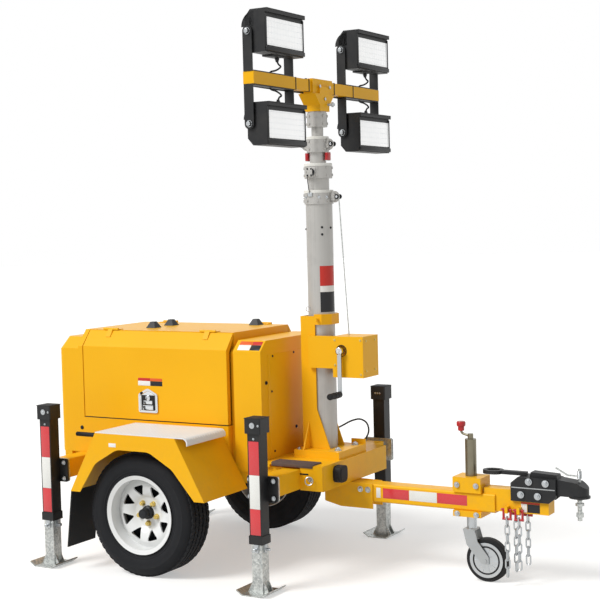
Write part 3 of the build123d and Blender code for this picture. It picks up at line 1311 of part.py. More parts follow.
def lamp_yoke(side, above):
    """U strap that holds one lamp at its two pivots."""
    y = side * LAMP_Y
    up = 1 if above else -1
    base = BAR_Z + up * (BAR_SIZE / 2 + RUNNING_GAP)
    half = YOKE_INNER_WIDTH / 2
    outer = half + YOKE_PLATE
    strap = YOKE_STRAP / 2
    low = min(base, base + up * YOKE_PLATE)
    yoke = block(MAST_X - strap, MAST_X + strap, y - outer, y + outer, low, low + YOKE_PLATE)
    pivot_z = BAR_Z + up * LAMP_PIVOT_RISE
    for end in (-1, 1):
        arm_y = y + end * (half + outer) / 2
        y0 = arm_y - YOKE_PLATE / 2
        y1 = arm_y + YOKE_PLATE / 2
        yoke += block(MAST_X - strap, MAST_X + strap, y0, y1, min(base, pivot_z), max(base, pivot_z))
        yoke += rod_y(MAST_X, y0, y1, pivot_z, strap)
        pin_in = y + end * (LAMP_WIDTH / 2 - YOKE_PIN_LENGTH)
        head_in = y + end * (outer - OVERLAP)
        head_out = y + end * (outer + YOKE_HEAD_LENGTH)
        yoke += rod_y(MAST_X, min(pin_in, head_out), max(pin_in, head_out), pivot_z, YOKE_PIN_RADIUS)
        yoke += hex_head_y(MAST_X, head_in, head_out, pivot_z, YOKE_HEAD_RADIUS)
    return yoke


def floodlight(side, above):
    """Rectangular lamp: tapered housing, hood, fins at the back, glazed window recess."""
    y = side * LAMP_Y
    z = BAR_Z + (1 if above else -1) * LAMP_PIVOT_RISE
    back = MAST_X - LAMP_PIVOT_BACK
    front = back + LAMP_DEPTH
    half = LAMP_WIDTH / 2
    low = z - LAMP_HEIGHT / 2
    high = z + LAMP_HEIGHT / 2
    outline = (
        (back, low + LAMP_TAPER),
        (back + LAMP_SLOPE, low),
        (front, low),
        (front, high - LAMP_LIP_HEIGHT),
        (front + LAMP_LIP, high - LAMP_LIP_HEIGHT),
        (front + LAMP_LIP, high),
        (back + LAMP_SLOPE, high),
        (back, high - LAMP_TAPER),
    )
    lamp = side_profile(outline, y - half, y + half)
    window_low = z - LAMP_WINDOW_HEIGHT / 2 - LAMP_WINDOW_DROP
    window_high = window_low + LAMP_WINDOW_HEIGHT
    window = LAMP_WINDOW_WIDTH / 2
    floor = front - LAMP_WINDOW_DEPTH
    lamp -= block(floor, front + OVERLAP, y - window, y + window, window_low, window_high)
    pitch = (LAMP_WIDTH - 2 * LAMP_FIN_MARGIN) / LAMP_FIN_COUNT
    slot = pitch * LAMP_FIN_SLOT
    for fin in range(LAMP_FIN_COUNT):
        middle = y - half + LAMP_FIN_MARGIN + pitch * (fin + 0.5)
        lamp -= block(back - OVERLAP, back + LAMP_FIN_DEPTH, middle - slot, middle + slot,
                      low + LAMP_FIN_INSET, high - LAMP_FIN_INSET)
    bore = YOKE_PIN_RADIUS + YOKE_PIN_CLEARANCE
    lamp -= rod_y(MAST_X, y - half - OVERLAP, y - half + LAMP_BORE_DEPTH, z, bore)
    lamp -= rod_y(MAST_X, y + half - LAMP_BORE_DEPTH, y + half + OVERLAP, z, bore)
    glass = block(floor + RUNNING_GAP, front - LAMP_GLASS_INSET, y - window + OVERLAP, y + window - OVERLAP,
                  window_low + OVERLAP, window_high - OVERLAP)
    return Compound([lamp, glass])


def jockey_block(bottom, top):
    """Clamp block on the drawbar for the jockey wheel's tube, with its four bolt heads."""
    x0 = JOCKEY_X - JOCKEY_BLOCK_LENGTH / 2
    x1 = x0 + JOCKEY_BLOCK_LENGTH
    half = JOCKEY_BLOCK_HALF_WIDTH
    clamp = block(x0, x1, -half, half, bottom, top)
    for x in (x0 + JOCKEY_BOLT_INSET, x1 - JOCKEY_BOLT_INSET):
        for side in (-1, 1):
            end = side * (half + JOCKEY_BOLT_HEAD)
            clamp += hex_head_y(x, side * (half - OVERLAP), end, (bottom + top) / 2, JOCKEY_BOLT_RADIUS)
    return clamp


def drawbar():
    """Box drawbar that narrows to the coupling end, with the jockey clamp and chain lugs."""
    half = DRAWBAR_HALF_WIDTH
    bar = block(DRAWBAR_REAR_X, DRAWBAR_STEP_X, -half, half, DRAWBAR_BOTTOM, DRAWBAR_TOP)
    bar = fillet(bar.edges().filter_by(Axis.X), DRAWBAR_ROUND)
    nose = NOSE_BAR_HALF_WIDTH
    bar += block(DRAWBAR_STEP_X - NOSE_BAR_LAP, DRAWBAR_FRONT_X, -nose, nose, NOSE_BAR_BOTTOM, NOSE_BAR_TOP)
    inner = half - DRAWBAR_WALL
    bar -= block(DRAWBAR_REAR_X - OVERLAP, DRAWBAR_STEP_X - NOSE_BAR_LAP - DRAWBAR_WALL, -inner, inner,
                 DRAWBAR_BOTTOM + DRAWBAR_WALL, DRAWBAR_TOP - DRAWBAR_WALL)
    bar += jockey_block(DRAWBAR_TOP - OVERLAP, JOCKEY_BLOCK_TOP)
    bar += jockey_block(JOCKEY_BLOCK_BOTTOM, DRAWBAR_BOTTOM + OVERLAP)
    bar -= rod_z(JOCKEY_X, 0, JOCKEY_BLOCK_BOTTOM - OVERLAP, JOCKEY_BLOCK_TOP + OVERLAP,
                 JOCKEY_TUBE_RADIUS + RUNNING_GAP)
    for strand, _ in CHAIN_STRANDS:
        x0 = CHAIN_X + strand * CHAIN_PITCH_X - CHAIN_LUG_HALF
        x1 = x0 + 2 * CHAIN_LUG_HALF
        lug = block(x0, x1, nose - OVERLAP, CHAIN_LUG_Y + CHAIN_LUG_REACH,
                    CHAIN_LUG_Z - CHAIN_LUG_REACH, CHAIN_LUG_Z + CHAIN_LUG_REACH)
        lug -= rod_x(x0 - OVERLAP, x1 + OVERLAP, CHAIN_LUG_Y, CHAIN_LUG_Z, SHACKLE_WIRE_RADIUS + RUNNING_GAP)
        bar += lug + mirrored(lug)
    return bar


def drawbar_bracket():
    """Bolted cheek plates and cross plate that hold the drawbar under the deck."""
    inner = DRAWBAR_HALF_WIDTH + RUNNING_GAP
    outer = inner + BRACKET_PLATE
    top = FRAME_BOTTOM - FRONT_BEAM_DROP - RUNNING_GAP
    step = BRACKET_BOTTOM + BRACKET_STEP_RISE
    outline = (
        (BRACKET_REAR_X, step),
        (BRACKET_STEP_X, BRACKET_BOTTOM),
        (BRACKET_FRONT_X, BRACKET_BOTTOM),
        (BRACKET_FRONT_X, DRAWBAR_TOP),
        (BRACKET_FRONT_X - BRACKET_SLOPE, top),
        (BRACKET_REAR_X, top),
    )
    plate = side_profile(outline, inner, outer)
    plates = plate + mirrored(plate)
    plates += block(BRACKET_REAR_X, BRACKET_FRONT_X - BRACKET_SLOPE, -outer, outer,
                    step, DRAWBAR_BOTTOM - RUNNING_GAP)
    for inset in BRACKET_BOLTS_X:
        for side in (-1, 1):
            plates += hex_head_y(BRACKET_FRONT_X - inset, side * (outer - OVERLAP),
                                 side * (outer + BRACKET_BOLT_HEAD), DRAWBAR_TOP - BRACKET_BOLT_DROP,
                                 BRACKET_BOLT_RADIUS)
    return plates


def coupling():
    """Coupling head: stepped plates bolted over the nose bar, a ridge, and the rounded ball socket."""
    inner = NOSE_BAR_HALF_WIDTH + RUNNING_GAP
    outer = COUPLING_HALF_WIDTH
    front = COUPLING_PLATE_FRONT_X
    outline = (
        (COUPLING_REAR_X, COUPLING_BOTTOM),
        (front - COUPLING_STEP_BACK, COUPLING_BOTTOM),
        (front, COUPLING_BOTTOM + COUPLING_STEP_RISE),
        (front, COUPLING_TOP),
        (COUPLING_REAR_X + COUPLING_STEP_BACK, COUPLING_TOP),
        (COUPLING_REAR_X, COUPLING_TOP - COUPLING_STEP_RISE),
    )
    plate = side_profile(outline, inner, outer)
    head = plate + mirrored(plate)
    head += block(COUPLING_REAR_X + COUPLING_STEP_BACK, front, -inner - OVERLAP, inner + OVERLAP,
                  NOSE_BAR_TOP + RUNNING_GAP, COUPLING_TOP)
    ridge = (
        (COUPLING_RIDGE_REAR_X, COUPLING_TOP - OVERLAP),
        (COUPLING_RIDGE_REAR_X + COUPLING_LIP, COUPLING_RIDGE),
        (front - COUPLING_LIP, COUPLING_RIDGE - COUPLING_LIP),
        (front, COUPLING_TOP - OVERLAP),
    )
    head += side_profile(ridge, -COUPLING_RIDGE_HALF, COUPLING_RIDGE_HALF)
    for inset, z in COUPLING_BOLTS:
        for side in (-1, 1):
            head += hex_head_y(COUPLING_REAR_X + inset, side * (outer - OVERLAP),
                               side * (outer + COUPLING_BOLT_HEAD), z, COUPLING_BOLT_RADIUS)
    waist = COUPLING_BODY_HALF
    side_shape = side_profile((
        (front - OVERLAP, COUPLING_NOSE_BOTTOM),
        (COUPLING_NOSE_X, COUPLING_NOSE_BOTTOM),
        (COUPLING_NOSE_X, BALL_Z + BALL_RADIUS),
        (BALL_X, COUPLING_NOSE_TOP),
        (front - OVERLAP, COUPLING_TOP),
    ), -outer, outer)
    plan = block(front - OVERLAP, BALL_X, -waist, waist, COUPLING_NOSE_BOTTOM, COUPLING_TOP)
    plan += rod_z(BALL_X, 0, COUPLING_NOSE_BOTTOM, COUPLING_TOP, COUPLING_NOSE_RADIUS - COUPLING_LIP)
    lip_bottom = COUPLING_NOSE_BOTTOM - COUPLING_LIP_HEIGHT
    head += plan & side_shape
    head += rod_z(BALL_X, 0, lip_bottom, COUPLING_NOSE_BOTTOM + OVERLAP, COUPLING_NOSE_RADIUS)
    socket = BALL_RADIUS + BALL_CLEARANCE
    head -= Pos(BALL_X, 0, BALL_Z - BALL_DROP) * Sphere(socket)
    return head - rod_z(BALL_X, 0, lip_bottom - OVERLAP, BALL_Z - BALL_DROP, socket)


def coupling_lever():
    """Bent release lever over the ball socket, on its upright catch pin."""
    z = COUPLING_NOSE_TOP + LATCH_LEVER_RISE
    outline = (
        (BALL_X - LATCH_LEVER_LENGTH, z + LATCH_LEVER_RISE),
        (BALL_X - LATCH_LEVER_LENGTH / 2, z),
        (BALL_X, z),
        (BALL_X, z - LATCH_LEVER_SHEET),
        (BALL_X - LATCH_LEVER_LENGTH / 2, z - LATCH_LEVER_SHEET),
        (BALL_X - LATCH_LEVER_LENGTH, z + LATCH_LEVER_RISE - LATCH_LEVER_SHEET),
    )
    lever = side_profile(outline, -LATCH_LEVER_HALF, LATCH_LEVER_HALF)
    return lever + rod_z(BALL_X, 0, COUPLING_NOSE_TOP + RUNNING_GAP, z + LATCH_LEVER_RISE, LATCH_LEVER_HALF)


def towing_eye():
    """Oval towing eye that lies folded back, welded to the coupling by its shank."""
    low = COUPLING_TOP + RUNNING_GAP
    high = low + EYE_THICKNESS
    middle = EYE_REAR_X + EYE_LENGTH / 2
    oval = Rectangle(EYE_LENGTH, 2 * EYE_HALF_WIDTH)
    oval = fillet(oval.vertices(), EYE_HALF_WIDTH - OVERLAP)
    eye = Pos(middle, 0, low) * extrude(oval - offset(oval, -EYE_WIRE), EYE_THICKNESS)
    return eye + block(EYE_REAR_X + EYE_LENGTH - EYE_WIRE + OVERLAP, COUPLING_RIDGE_REAR_X - EYE_STRAP_WELD,
                       -EYE_STRAP_HALF, EYE_STRAP_HALF, low, high)


def jockey_sleeve():
    """Jockey wheel's outer tube with its screw, crank and knob."""
    tube = rod_z(JOCKEY_X, 0, JOCKEY_TUBE_BOTTOM, JOCKEY_TOP, JOCKEY_TUBE_RADIUS)
    tube -= rod_z(JOCKEY_X, 0, JOCKEY_TUBE_BOTTOM - OVERLAP, JOCKEY_TOP - JOCKEY_CAP,
                  JOCKEY_TUBE_RADIUS - JOCKEY_TUBE_WALL)
    tube += rod_z(JOCKEY_X, 0, JOCKEY_TOP - OVERLAP, JOCKEY_TOP + JOCKEY_SCREW_RISE, JOCKEY_SCREW_RADIUS)
    knob_x = JOCKEY_X - JOCKEY_CRANK_X
    start = (JOCKEY_X, 0, JOCKEY_TOP + JOCKEY_SCREW_RISE / 2)
    corner = (knob_x, 0, JOCKEY_TOP + JOCKEY_SCREW_RISE)
    end = (knob_x, 0, JOCKEY_TOP + JOCKEY_CRANK_RISE + OVERLAP)
    crank = FilletPolyline(start, corner, end, radius=JOCKEY_CRANK_BEND)
    tube += sweep(Plane(crank @ 0, z_dir=crank % 0) * Circle(JOCKEY_CRANK_WIRE), crank)
    knob_bottom = JOCKEY_TOP + JOCKEY_CRANK_RISE
    return tube + rod_z(knob_x, 0, knob_bottom, knob_bottom + JOCKEY_KNOB_LENGTH, JOCKEY_KNOB_RADIUS)


def jockey_leg():
    """Inner tube that winds out of the sleeve, ending in the swivel stub."""
    low = JOCKEY_FORK_TOP + RUNNING_GAP
    leg = rod_z(JOCKEY_X, 0, low, JOCKEY_LEG_TOP, JOCKEY_LEG_RADIUS)
    bore = JOCKEY_LEG_RADIUS - JOCKEY_LEG_WALL
    leg -= rod_z(JOCKEY_X, 0, low + JOCKEY_LEG_PLUG, JOCKEY_LEG_TOP + OVERLAP, bore)
    return leg + rod_z(JOCKEY_X, 0, JOCKEY_FORK_TOP - JOCKEY_LEG_PLUG, low + OVERLAP, JOCKEY_PIN_RADIUS)


def jockey_fork():
    """Pressed fork, swept forward to the wheel axle."""
    inner = JOCKEY_WHEEL_WIDTH / 2 + JOCKEY_FORK_GAP
    outer = inner + JOCKEY_FORK_PLATE
    axle_x = JOCKEY_X + JOCKEY_TRAIL
    axle_z = JOCKEY_WHEEL_RADIUS
    top = JOCKEY_FORK_TOP
    rear = JOCKEY_X - JOCKEY_CROWN_REAR
    front = JOCKEY_X + JOCKEY_CROWN_FRONT
    boss = JOCKEY_AXLE_BOSS
    cheek = (
        (rear, top),
        (front, top),
        (front + boss, top - JOCKEY_CROWN_DEPTH),
        (axle_x + boss, axle_z + boss),
        (axle_x + boss, axle_z - boss),
        (axle_x - boss, axle_z - boss),
        (rear + boss, top - JOCKEY_CROWN_DEPTH - boss),
    )
    plate = side_profile(cheek, inner, outer)
    fork = plate + mirrored(plate)
    fork += block(rear, front, -outer, outer, top - JOCKEY_CROWN_PLATE, top)
    fork -= rod_z(JOCKEY_X, 0, top - JOCKEY_CROWN_DEPTH, top + OVERLAP, JOCKEY_PIN_RADIUS + STUB_CLEARANCE)
    pin_end = outer + JOCKEY_FORK_PLATE
    return fork + rod_y(axle_x, -pin_end, pin_end, axle_z, JOCKEY_PIN_RADIUS)


def jockey_wheel():
    """Solid jockey wheel: hub, web and a tread with rounded shoulders."""
    half = JOCKEY_WHEEL_WIDTH / 2
    bore = JOCKEY_PIN_RADIUS + STUB_CLEARANCE
    radius = JOCKEY_WHEEL_RADIUS
    hub = JOCKEY_HUB_RADIUS
    seat = radius - JOCKEY_TREAD_HEIGHT
    web = JOCKEY_WEB_HALF
    shoulder = JOCKEY_SHOULDER
    near = (
        (bore, -half),
        (hub, -half),
        (hub, -web),
        (seat, -web),
        (seat, -half + shoulder / 2),
        (radius - shoulder / 2, -half + shoulder / 2),
        (radius, -half + shoulder),
    )
    far = [(reach, -offset) for reach, offset in reversed(near)]
    return turned([*near, *far], JOCKEY_X + JOCKEY_TRAIL, 0, radius)


def chain_link():
    """One link with tapered ends, long in Z and lying in the plane of X and Z."""
    half_length = CHAIN_LINK_LENGTH / 2
    half_width = CHAIN_LINK_WIDTH / 2
    wire = 2 * CHAIN_WIRE_RADIUS
    shoulder = half_length - CHAIN_LINK_TAPER
    outer = (
        (half_width, -shoulder),
        (half_width, shoulder),
        (0, half_length),
        (-half_width, shoulder),
        (-half_width, -shoulder),
        (0, -half_length),
    )
    opening = Rectangle(2 * (half_width - wire), 2 * (half_length - wire))
    face = Plane.XZ * (make_face(Polyline(*outer, close=True)) - opening)
    return extrude(face, CHAIN_WIRE_RADIUS, both=True)


def chain_shackle(side, strand):
    """Bow shackle whose pin goes through the drawbar's lug."""
    x = CHAIN_X + strand * CHAIN_PITCH_X
    y = side * CHAIN_LUG_Y
    wire = SHACKLE_WIRE_RADIUS
    leg = SHACKLE_WIDTH / 2 + wire
    z = CHAIN_LUG_Z
    bow = rod_x(x - leg - wire - SHACKLE_HEAD, x + leg + wire, y, z, wire)
    bow += rod_x(x - leg - wire, x + leg + wire, y, z - SHACKLE_DROP, wire)
    for end in (-1, 1):
        bow += rod_z(x + end * leg, y, z - SHACKLE_DROP, z + wire, wire)
    return bow


def safety_chains():
    """Strands of linked rings, each hanging from its shackle."""
    pitch = CHAIN_LINK_LENGTH - 4 * CHAIN_WIRE_RADIUS - RUNNING_GAP
    reach = CHAIN_LINK_LENGTH / 2 - 2 * CHAIN_WIRE_RADIUS
    first = CHAIN_LUG_Z - SHACKLE_DROP + SHACKLE_WIRE_RADIUS + RUNNING_GAP - reach
    links = []
    for _, side in SIDES:
        for strand, count in CHAIN_STRANDS:
            x = CHAIN_X + strand * CHAIN_PITCH_X
            for index in range(count):
                turn = 90 if index % 2 == 0 else 0
                place = Pos(x, side * CHAIN_LUG_Y, first - pitch * index)
                links.append(place * Rot(0, 0, turn) * chain_link())
    return Compound(links)


def hitch_ball():
    """Ball held in the coupling head, with its collar, threaded shank and nut."""
    ball = Pos(BALL_X, 0, BALL_Z - BALL_DROP) * Sphere(BALL_RADIUS)
    ball += rod_z(BALL_X, 0, BALL_SHANK_BOTTOM, BALL_Z - BALL_RADIUS, BALL_SHANK_RADIUS)
    collar_top = BALL_Z - BALL_COLLAR_DROP
    ball += rod_z(BALL_X, 0, collar_top - BALL_COLLAR_HEIGHT, collar_top, BALL_COLLAR_RADIUS)
    nut = extrude(RegularPolygon(BALL_NUT_RADIUS, 6), BALL_NUT_HEIGHT)
    return ball + Pos(BALL_X, 0, BALL_SHANK_BOTTOM + BALL_NUT_RISE) * nut


def save(name, shape):
    """Write one piece, with X counted from the middle of the trailer."""
    placed = Pos(-MIDDLE_X, 0, 0) * shape
    placed.label = name
    export_step(placed, "parts/" + name + ".step")


SIDES = (("right", -1), ("left", 1))
CORNERS = (("front", JACK_FRONT_X), ("rear", JACK_REAR_X))

save("chassis_frame", chassis_frame())
save("front_deck", front_deck())
save("axle_springs", axle_and_springs())
save("canopy", canopy())
save("roof_caps", roof_caps())
save("engine_block", engine_block())
save("control_cabinet", control_cabinet())
save("fenders", Compound([fender(side) for _, side in SIDES]))
save("step_plates", Compound([step_plate(side) for _, side in SIDES]))
save("mudflaps", Compound([mudflap(side) for _, side in SIDES]))
save("crank_handle", crank_handle())
save("mast_support", mast_support())
save("cable_loop", supply_cable())
save("winch_box", winch_box())
save("winch_rope", winch_rope())
save("winch_crank", winch_crank())
save("drawbar", drawbar())
save("drawbar_bracket", drawbar_bracket())
save("coupling", coupling())
save("coupling_lever", coupling_lever())
save("towing_eye", towing_eye())
save("jockey_sleeve", jockey_sleeve())
save("jockey_leg", jockey_leg())
save("jockey_fork", jockey_fork())
save("jockey_wheel", jockey_wheel())
save("safety_chains", safety_chains())
save("chain_shackles", Compound([chain_shackle(side, row[0]) for _, side in SIDES for row in CHAIN_STRANDS]))
save("hitch_ball", hitch_ball())
save("crossbar", crossbar())
save("lamp_yokes", Compound([lamp_yoke(side, above) for _, side in SIDES for above in (True, False)]))
for index in range(len(MAST_TUBES)):
    save("mast_tube_" + str(index + 1), mast_tube(index))
for side_name, side in SIDES:
    save("tyre_" + side_name, wheel_tyre(side))
    save("rim_" + side_name, wheel_rim(side))
    save("door_" + side_name, canopy_door(side))
    save("floodlight_upper_" + side_name, floodlight(side, True))
    save("floodlight_lower_" + side_name, floodlight(side, False))
    for corner_name, corner_x in CORNERS:
        corner = corner_name + "_" + side_name
        save("outrigger_beam_" + corner, outrigger_beam(corner_x, side))
        save("jack_tube_" + corner, jack_tube(corner_x, side))
        save("jack_leg_" + corner, jack_leg(corner_x, side))
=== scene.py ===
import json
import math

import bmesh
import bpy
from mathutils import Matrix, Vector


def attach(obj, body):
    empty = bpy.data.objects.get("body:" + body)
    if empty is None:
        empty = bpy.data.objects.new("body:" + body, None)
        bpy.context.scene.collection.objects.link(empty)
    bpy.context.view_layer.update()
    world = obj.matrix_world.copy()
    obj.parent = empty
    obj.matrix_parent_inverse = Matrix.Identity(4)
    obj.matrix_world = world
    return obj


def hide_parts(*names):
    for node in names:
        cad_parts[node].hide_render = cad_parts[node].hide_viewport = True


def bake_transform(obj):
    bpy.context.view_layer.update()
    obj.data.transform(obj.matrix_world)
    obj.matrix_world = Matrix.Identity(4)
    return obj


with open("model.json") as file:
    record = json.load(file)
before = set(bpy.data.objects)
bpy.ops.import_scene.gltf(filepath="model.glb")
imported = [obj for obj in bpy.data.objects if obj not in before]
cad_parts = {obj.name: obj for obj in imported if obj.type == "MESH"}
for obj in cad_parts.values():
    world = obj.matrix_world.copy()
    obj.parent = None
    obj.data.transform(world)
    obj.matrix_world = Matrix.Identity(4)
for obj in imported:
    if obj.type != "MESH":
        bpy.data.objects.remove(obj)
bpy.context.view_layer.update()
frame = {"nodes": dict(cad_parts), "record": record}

# %% [markdown]
# # A mobile light tower
# The light tower is a small one-axle trailer: a yellow engine canopy, four outrigger jacks, a
# telescopic mast with four floodlights, and a drawbar with a jockey wheel. Its solids come from
# CAD and stand fixed. This lesson gives them their finishes and adds what CAD leaves out: tyre
# tread, tapes, bolts, lenses, leads and chains.
# All of the measuring is done in millimetres from the middle of the wheel axle, as on a drawing,
# and one matrix takes every finished shape into the model's own metres.

nodes = frame["nodes"]
AXLE_TO_MIDDLE = 689
TO_MODEL = Matrix.Scale(0.001, 4) @ Matrix.Translation((-AXLE_TO_MIDDLE, 0, 0))


def at(x, y, z):
    """A point of the drawing, in the model's metres."""
    return TO_MODEL @ Vector((x, y, z))


# %% [markdown]
# ## Camera
# The photograph was taken from a standing person's height, some seven metres off the near front
# corner, with a long lens. The camera could be aimed with a constraint, but a plain matrix built
# from its three directions holds the exact turn, with the slight roll of a hand-held picture.

# %% Camera
CAMERA_AT = (4211.6, -6155.6, 1809.8)
TURN = math.radians(30.49)
DOWN = math.radians(3.29)
ROLL = math.radians(-1.43)
LENS_MM = 80.47
SENSOR_MM = 36
SIGHT_M = 200

forward = Vector((-math.sin(TURN) * math.cos(DOWN), math.cos(TURN) * math.cos(DOWN), -math.sin(DOWN)))
level = forward.cross((0, 0, 1)).normalized()
upright = level.cross(forward)
right = math.cos(ROLL) * level + math.sin(ROLL) * upright
top = -math.sin(ROLL) * level + math.cos(ROLL) * upright
camera = bpy.data.objects.new("camera", bpy.data.cameras.new("camera"))
camera.data.lens = LENS_MM
camera.data.sensor_width = SENSOR_MM
camera.data.clip_end = SIGHT_M
turned = Matrix((right, top, -forward)).transposed().to_4x4()
camera.matrix_world = Matrix.Translation(at(*CAMERA_AT)) @ turned
bpy.context.scene.collection.objects.link(camera)
bpy.context.scene.camera = camera
print("camera at", [round(value, 3) for value in camera.location])

# %% [markdown]
# ## Colours and nodes
# Paint colours are read off a photograph as sRGB hex values, but a shader works in linear light,
# so one function turns them. A second one adds any node with its settings and links, which
# keeps each material down to a few lines that read like its recipe. A third opens a new material,
# and the last turns a real size into the scale of a pattern.

# %% Colour and node helpers
def colour(text):
    """Linear colour of an sRGB hex value."""
    parts = [int(text[i:i + 2], 16) / 255 for i in (1, 3, 5)]
    return (*(p / 12.92 if p <= 0.04045 else ((p + 0.055) / 1.055) ** 2.4 for p in parts), 1)


def add(tree, kind, inputs, **settings):
    """One node; each input is a plain value or the socket that feeds it."""
    made = tree.nodes.new("ShaderNode" + kind)
    for name, value in settings.items():
        setattr(made, name, value)
    for name, value in inputs.items():
        if isinstance(value, bpy.types.NodeSocket):
            tree.links.new(value, made.inputs[name])
        else:
            made.inputs[name].default_value = value
    return made.outputs


def start(name, base, roughness, metallic=0.0, **sockets):
    """A material with its shader set; gives the tree, the shader's inputs and the coordinates."""
    made = bpy.data.materials.new(name)
    made.use_nodes = True
    shader = made.node_tree.nodes["Principled BSDF"].inputs
    shader["Base Color"].default_value = colour(base)
    shader["Roughness"].default_value = roughness
    shader["Metallic"].default_value = metallic
    for socket, value in sockets.items():
        shader[socket.replace("_", " ")].default_value = value
    return made, made.node_tree, shader, add(made.node_tree, "TexCoord", {})["Object"]


def per_metre(mm):
    """Noise scale that gives features of a size in millimetres."""
    return 1000 / mm


WHITE = colour("#FFFFFF")
print("white in linear light", WHITE)

# %% [markdown]
# ## Background
# A product picture stands on white paper. The paper could be lit until it burns out, but that
# would spoil the paint, so the world shows its full brightness only to the camera, to mirrors and
# through glass. Everything else gets the weaker fill.

# %% White world
def seen_directly(tree):
    """1 where a ray comes from the camera, a mirror or a glass, else 0."""
    path = add(tree, "LightPath", {})
    mirror = add(tree, "Math", {0: path["Is Camera Ray"], 1: path["Is Glossy Ray"]}, operation="MAXIMUM")
    return add(tree, "Math", {0: mirror[0], 1: path["Is Transmission Ray"]}, operation="MAXIMUM")[0]


FILL = 0.48
world = bpy.data.worlds.new("studio")
world.use_nodes = True
bpy.context.scene.world = world
paper = world.node_tree.nodes["Background"].inputs
paper["Color"].default_value = WHITE
sky = seen_directly(world.node_tree)
strength = add(world.node_tree, "MapRange", {"Value": sky, "To Min": FILL, "To Max": 1.0})
world.node_tree.links.new(strength[0], paper["Strength"])
print("world fills with", FILL)

# %% [markdown]
# ## Floor
# The floor is a wide disc of pale paper that takes the shadow. It glows a little where the camera
# sees it directly, so that its far edge melts into the background.

# %% Floor
FLOOR_GLOW = 0.42
FLOOR_RADIUS_M = 60
floor_paper, tree, shader, place = start("floor_paper", "#D8D8D6", 0.9)
shader["Emission Color"].default_value = WHITE
glow = add(tree, "MapRange", {"Value": seen_directly(tree), "To Min": 0.0, "To Max": FLOOR_GLOW})
tree.links.new(glow[0], shader["Emission Strength"])
form = bmesh.new()
bmesh.ops.create_circle(form, cap_ends=True, segments=64, radius=FLOOR_RADIUS_M)
mesh = bpy.data.meshes.new("floor")
form.to_mesh(mesh)
form.free()
mesh.materials.append(floor_paper)
floor = bpy.data.objects.new("floor", mesh)
bpy.context.scene.collection.objects.link(floor)
print("floor of", FLOOR_RADIUS_M, "m")

# %% [markdown]
# ## Sun
# One soft sun comes from the near rear side, which leaves the front faces in a gentle shade. Its
# wide angle blurs the edge of the shadow, as a cloudy day does. The Standard view shows a colour as
# it is written.

# %% Sun and view
SUN_STRENGTH = 2.45
SUN_WIDTH = math.radians(25)
SUN_DIRECTION = (0.42, 0.72, -0.85)
sun = bpy.data.objects.new("sun", bpy.data.lights.new("sun", "SUN"))
sun.data.energy = SUN_STRENGTH
sun.data.angle = SUN_WIDTH
sun.rotation_euler = Vector(SUN_DIRECTION).to_track_quat("-Z", "Y").to_euler()
bpy.context.scene.collection.objects.link(sun)
bpy.context.scene.view_settings.view_transform = "Standard"
print("sun of", SUN_STRENGTH)

# %% [markdown]
# ## Powder coat
# The canopy, frame, mast support and drawbar are sheet and tube steel, blasted and powder coated
# in a warm machine yellow. Powder melts to a thick even skin with a faint orange peel. It could be
# one flat colour with gloss, but a broad drift in tone, a dust film low down and the peel in the
# bump make it read as paint on steel. The peel is about 2 mm on the real thing and is drawn at
# 5 mm so that it shows. The specular level is low, so that the white studio doesn't bleach it.

# %% Yellow powder coat
PEEL = 5
yellow, tree, shader, place = start("yellow_powder_coat", "#F2B417", 0.4, Specular_IOR_Level=0.16)
drift = add(tree, "TexNoise", {"Vector": place, "Scale": per_metre(420), "Detail": 2.0})
tone = add(tree, "Mix", {0: drift[0], 6: colour("#F5B91A"), 7: colour("#EEAE14")}, data_type="RGBA")
height = add(tree, "SeparateXYZ", {0: place})["Z"]
low = add(tree, "MapRange", {"Value": height, "From Min": 0.2, "From Max": 0.8,
                            "To Min": 0.34, "To Max": 0.03})
blotch = add(tree, "TexNoise", {"Vector": place, "Scale": per_metre(38), "Detail": 6.0, "Roughness": 0.68})
patchy = add(tree, "MapRange", {"Value": blotch[0], "From Min": 0.42, "From Max": 0.72})
dust = add(tree, "Math", {0: low[0], 1: patchy[0]}, operation="MULTIPLY")
dusty = add(tree, "Mix", {0: dust[0], 6: tone[2], 7: colour("#C39A45")}, data_type="RGBA")
tree.links.new(dusty[2], shader["Base Color"])
rough = add(tree, "MapRange", {"Value": blotch[0], "To Min": 0.26, "To Max": 0.42})
tree.links.new(rough[0], shader["Roughness"])
peel = add(tree, "TexNoise", {"Vector": place, "Scale": per_metre(PEEL), "Detail": 1.0})
bump = add(tree, "Bump", {"Height": peel[0], "Strength": 0.12, "Distance": 0.0012})
tree.links.new(bump[0], shader["Normal"])
print("yellow powder coat:", len(tree.nodes), "nodes")

# %% [markdown]
# The jacks, outrigger tubes and lamp housings wear a black powder with a fine sand in it, which
# breaks the highlight into a soft satin. Grey-brown dust sits in its hollows.

# %% Black powder coat
SAND = 3
black, tree, shader, place = start("black_powder_coat", "#17181A", 0.5, Specular_IOR_Level=0.35)
grain = add(tree, "TexNoise", {"Vector": place, "Scale": per_metre(SAND), "Detail": 2.0})
cloud = add(tree, "TexNoise", {"Vector": place, "Scale": per_metre(120), "Detail": 5.0, "Roughness": 0.65})
film = add(tree, "MapRange", {"Value": cloud[0], "From Min": 0.45, "From Max": 0.8, "To Max": 0.45})
tone = add(tree, "Mix", {0: film[0], 6: colour("#151618"), 7: colour("#3A3834")}, data_type="RGBA")
tree.links.new(tone[2], shader["Base Color"])
rough = add(tree, "MapRange", {"Value": cloud[0], "To Min": 0.36, "To Max": 0.6})
tree.links.new(rough[0], shader["Roughness"])
bump = add(tree, "Bump", {"Height": grain[0], "Strength": 0.3, "Distance": 0.0006})
tree.links.new(bump[0], shader["Normal"])
print("black powder coat:", len(tree.nodes), "nodes")

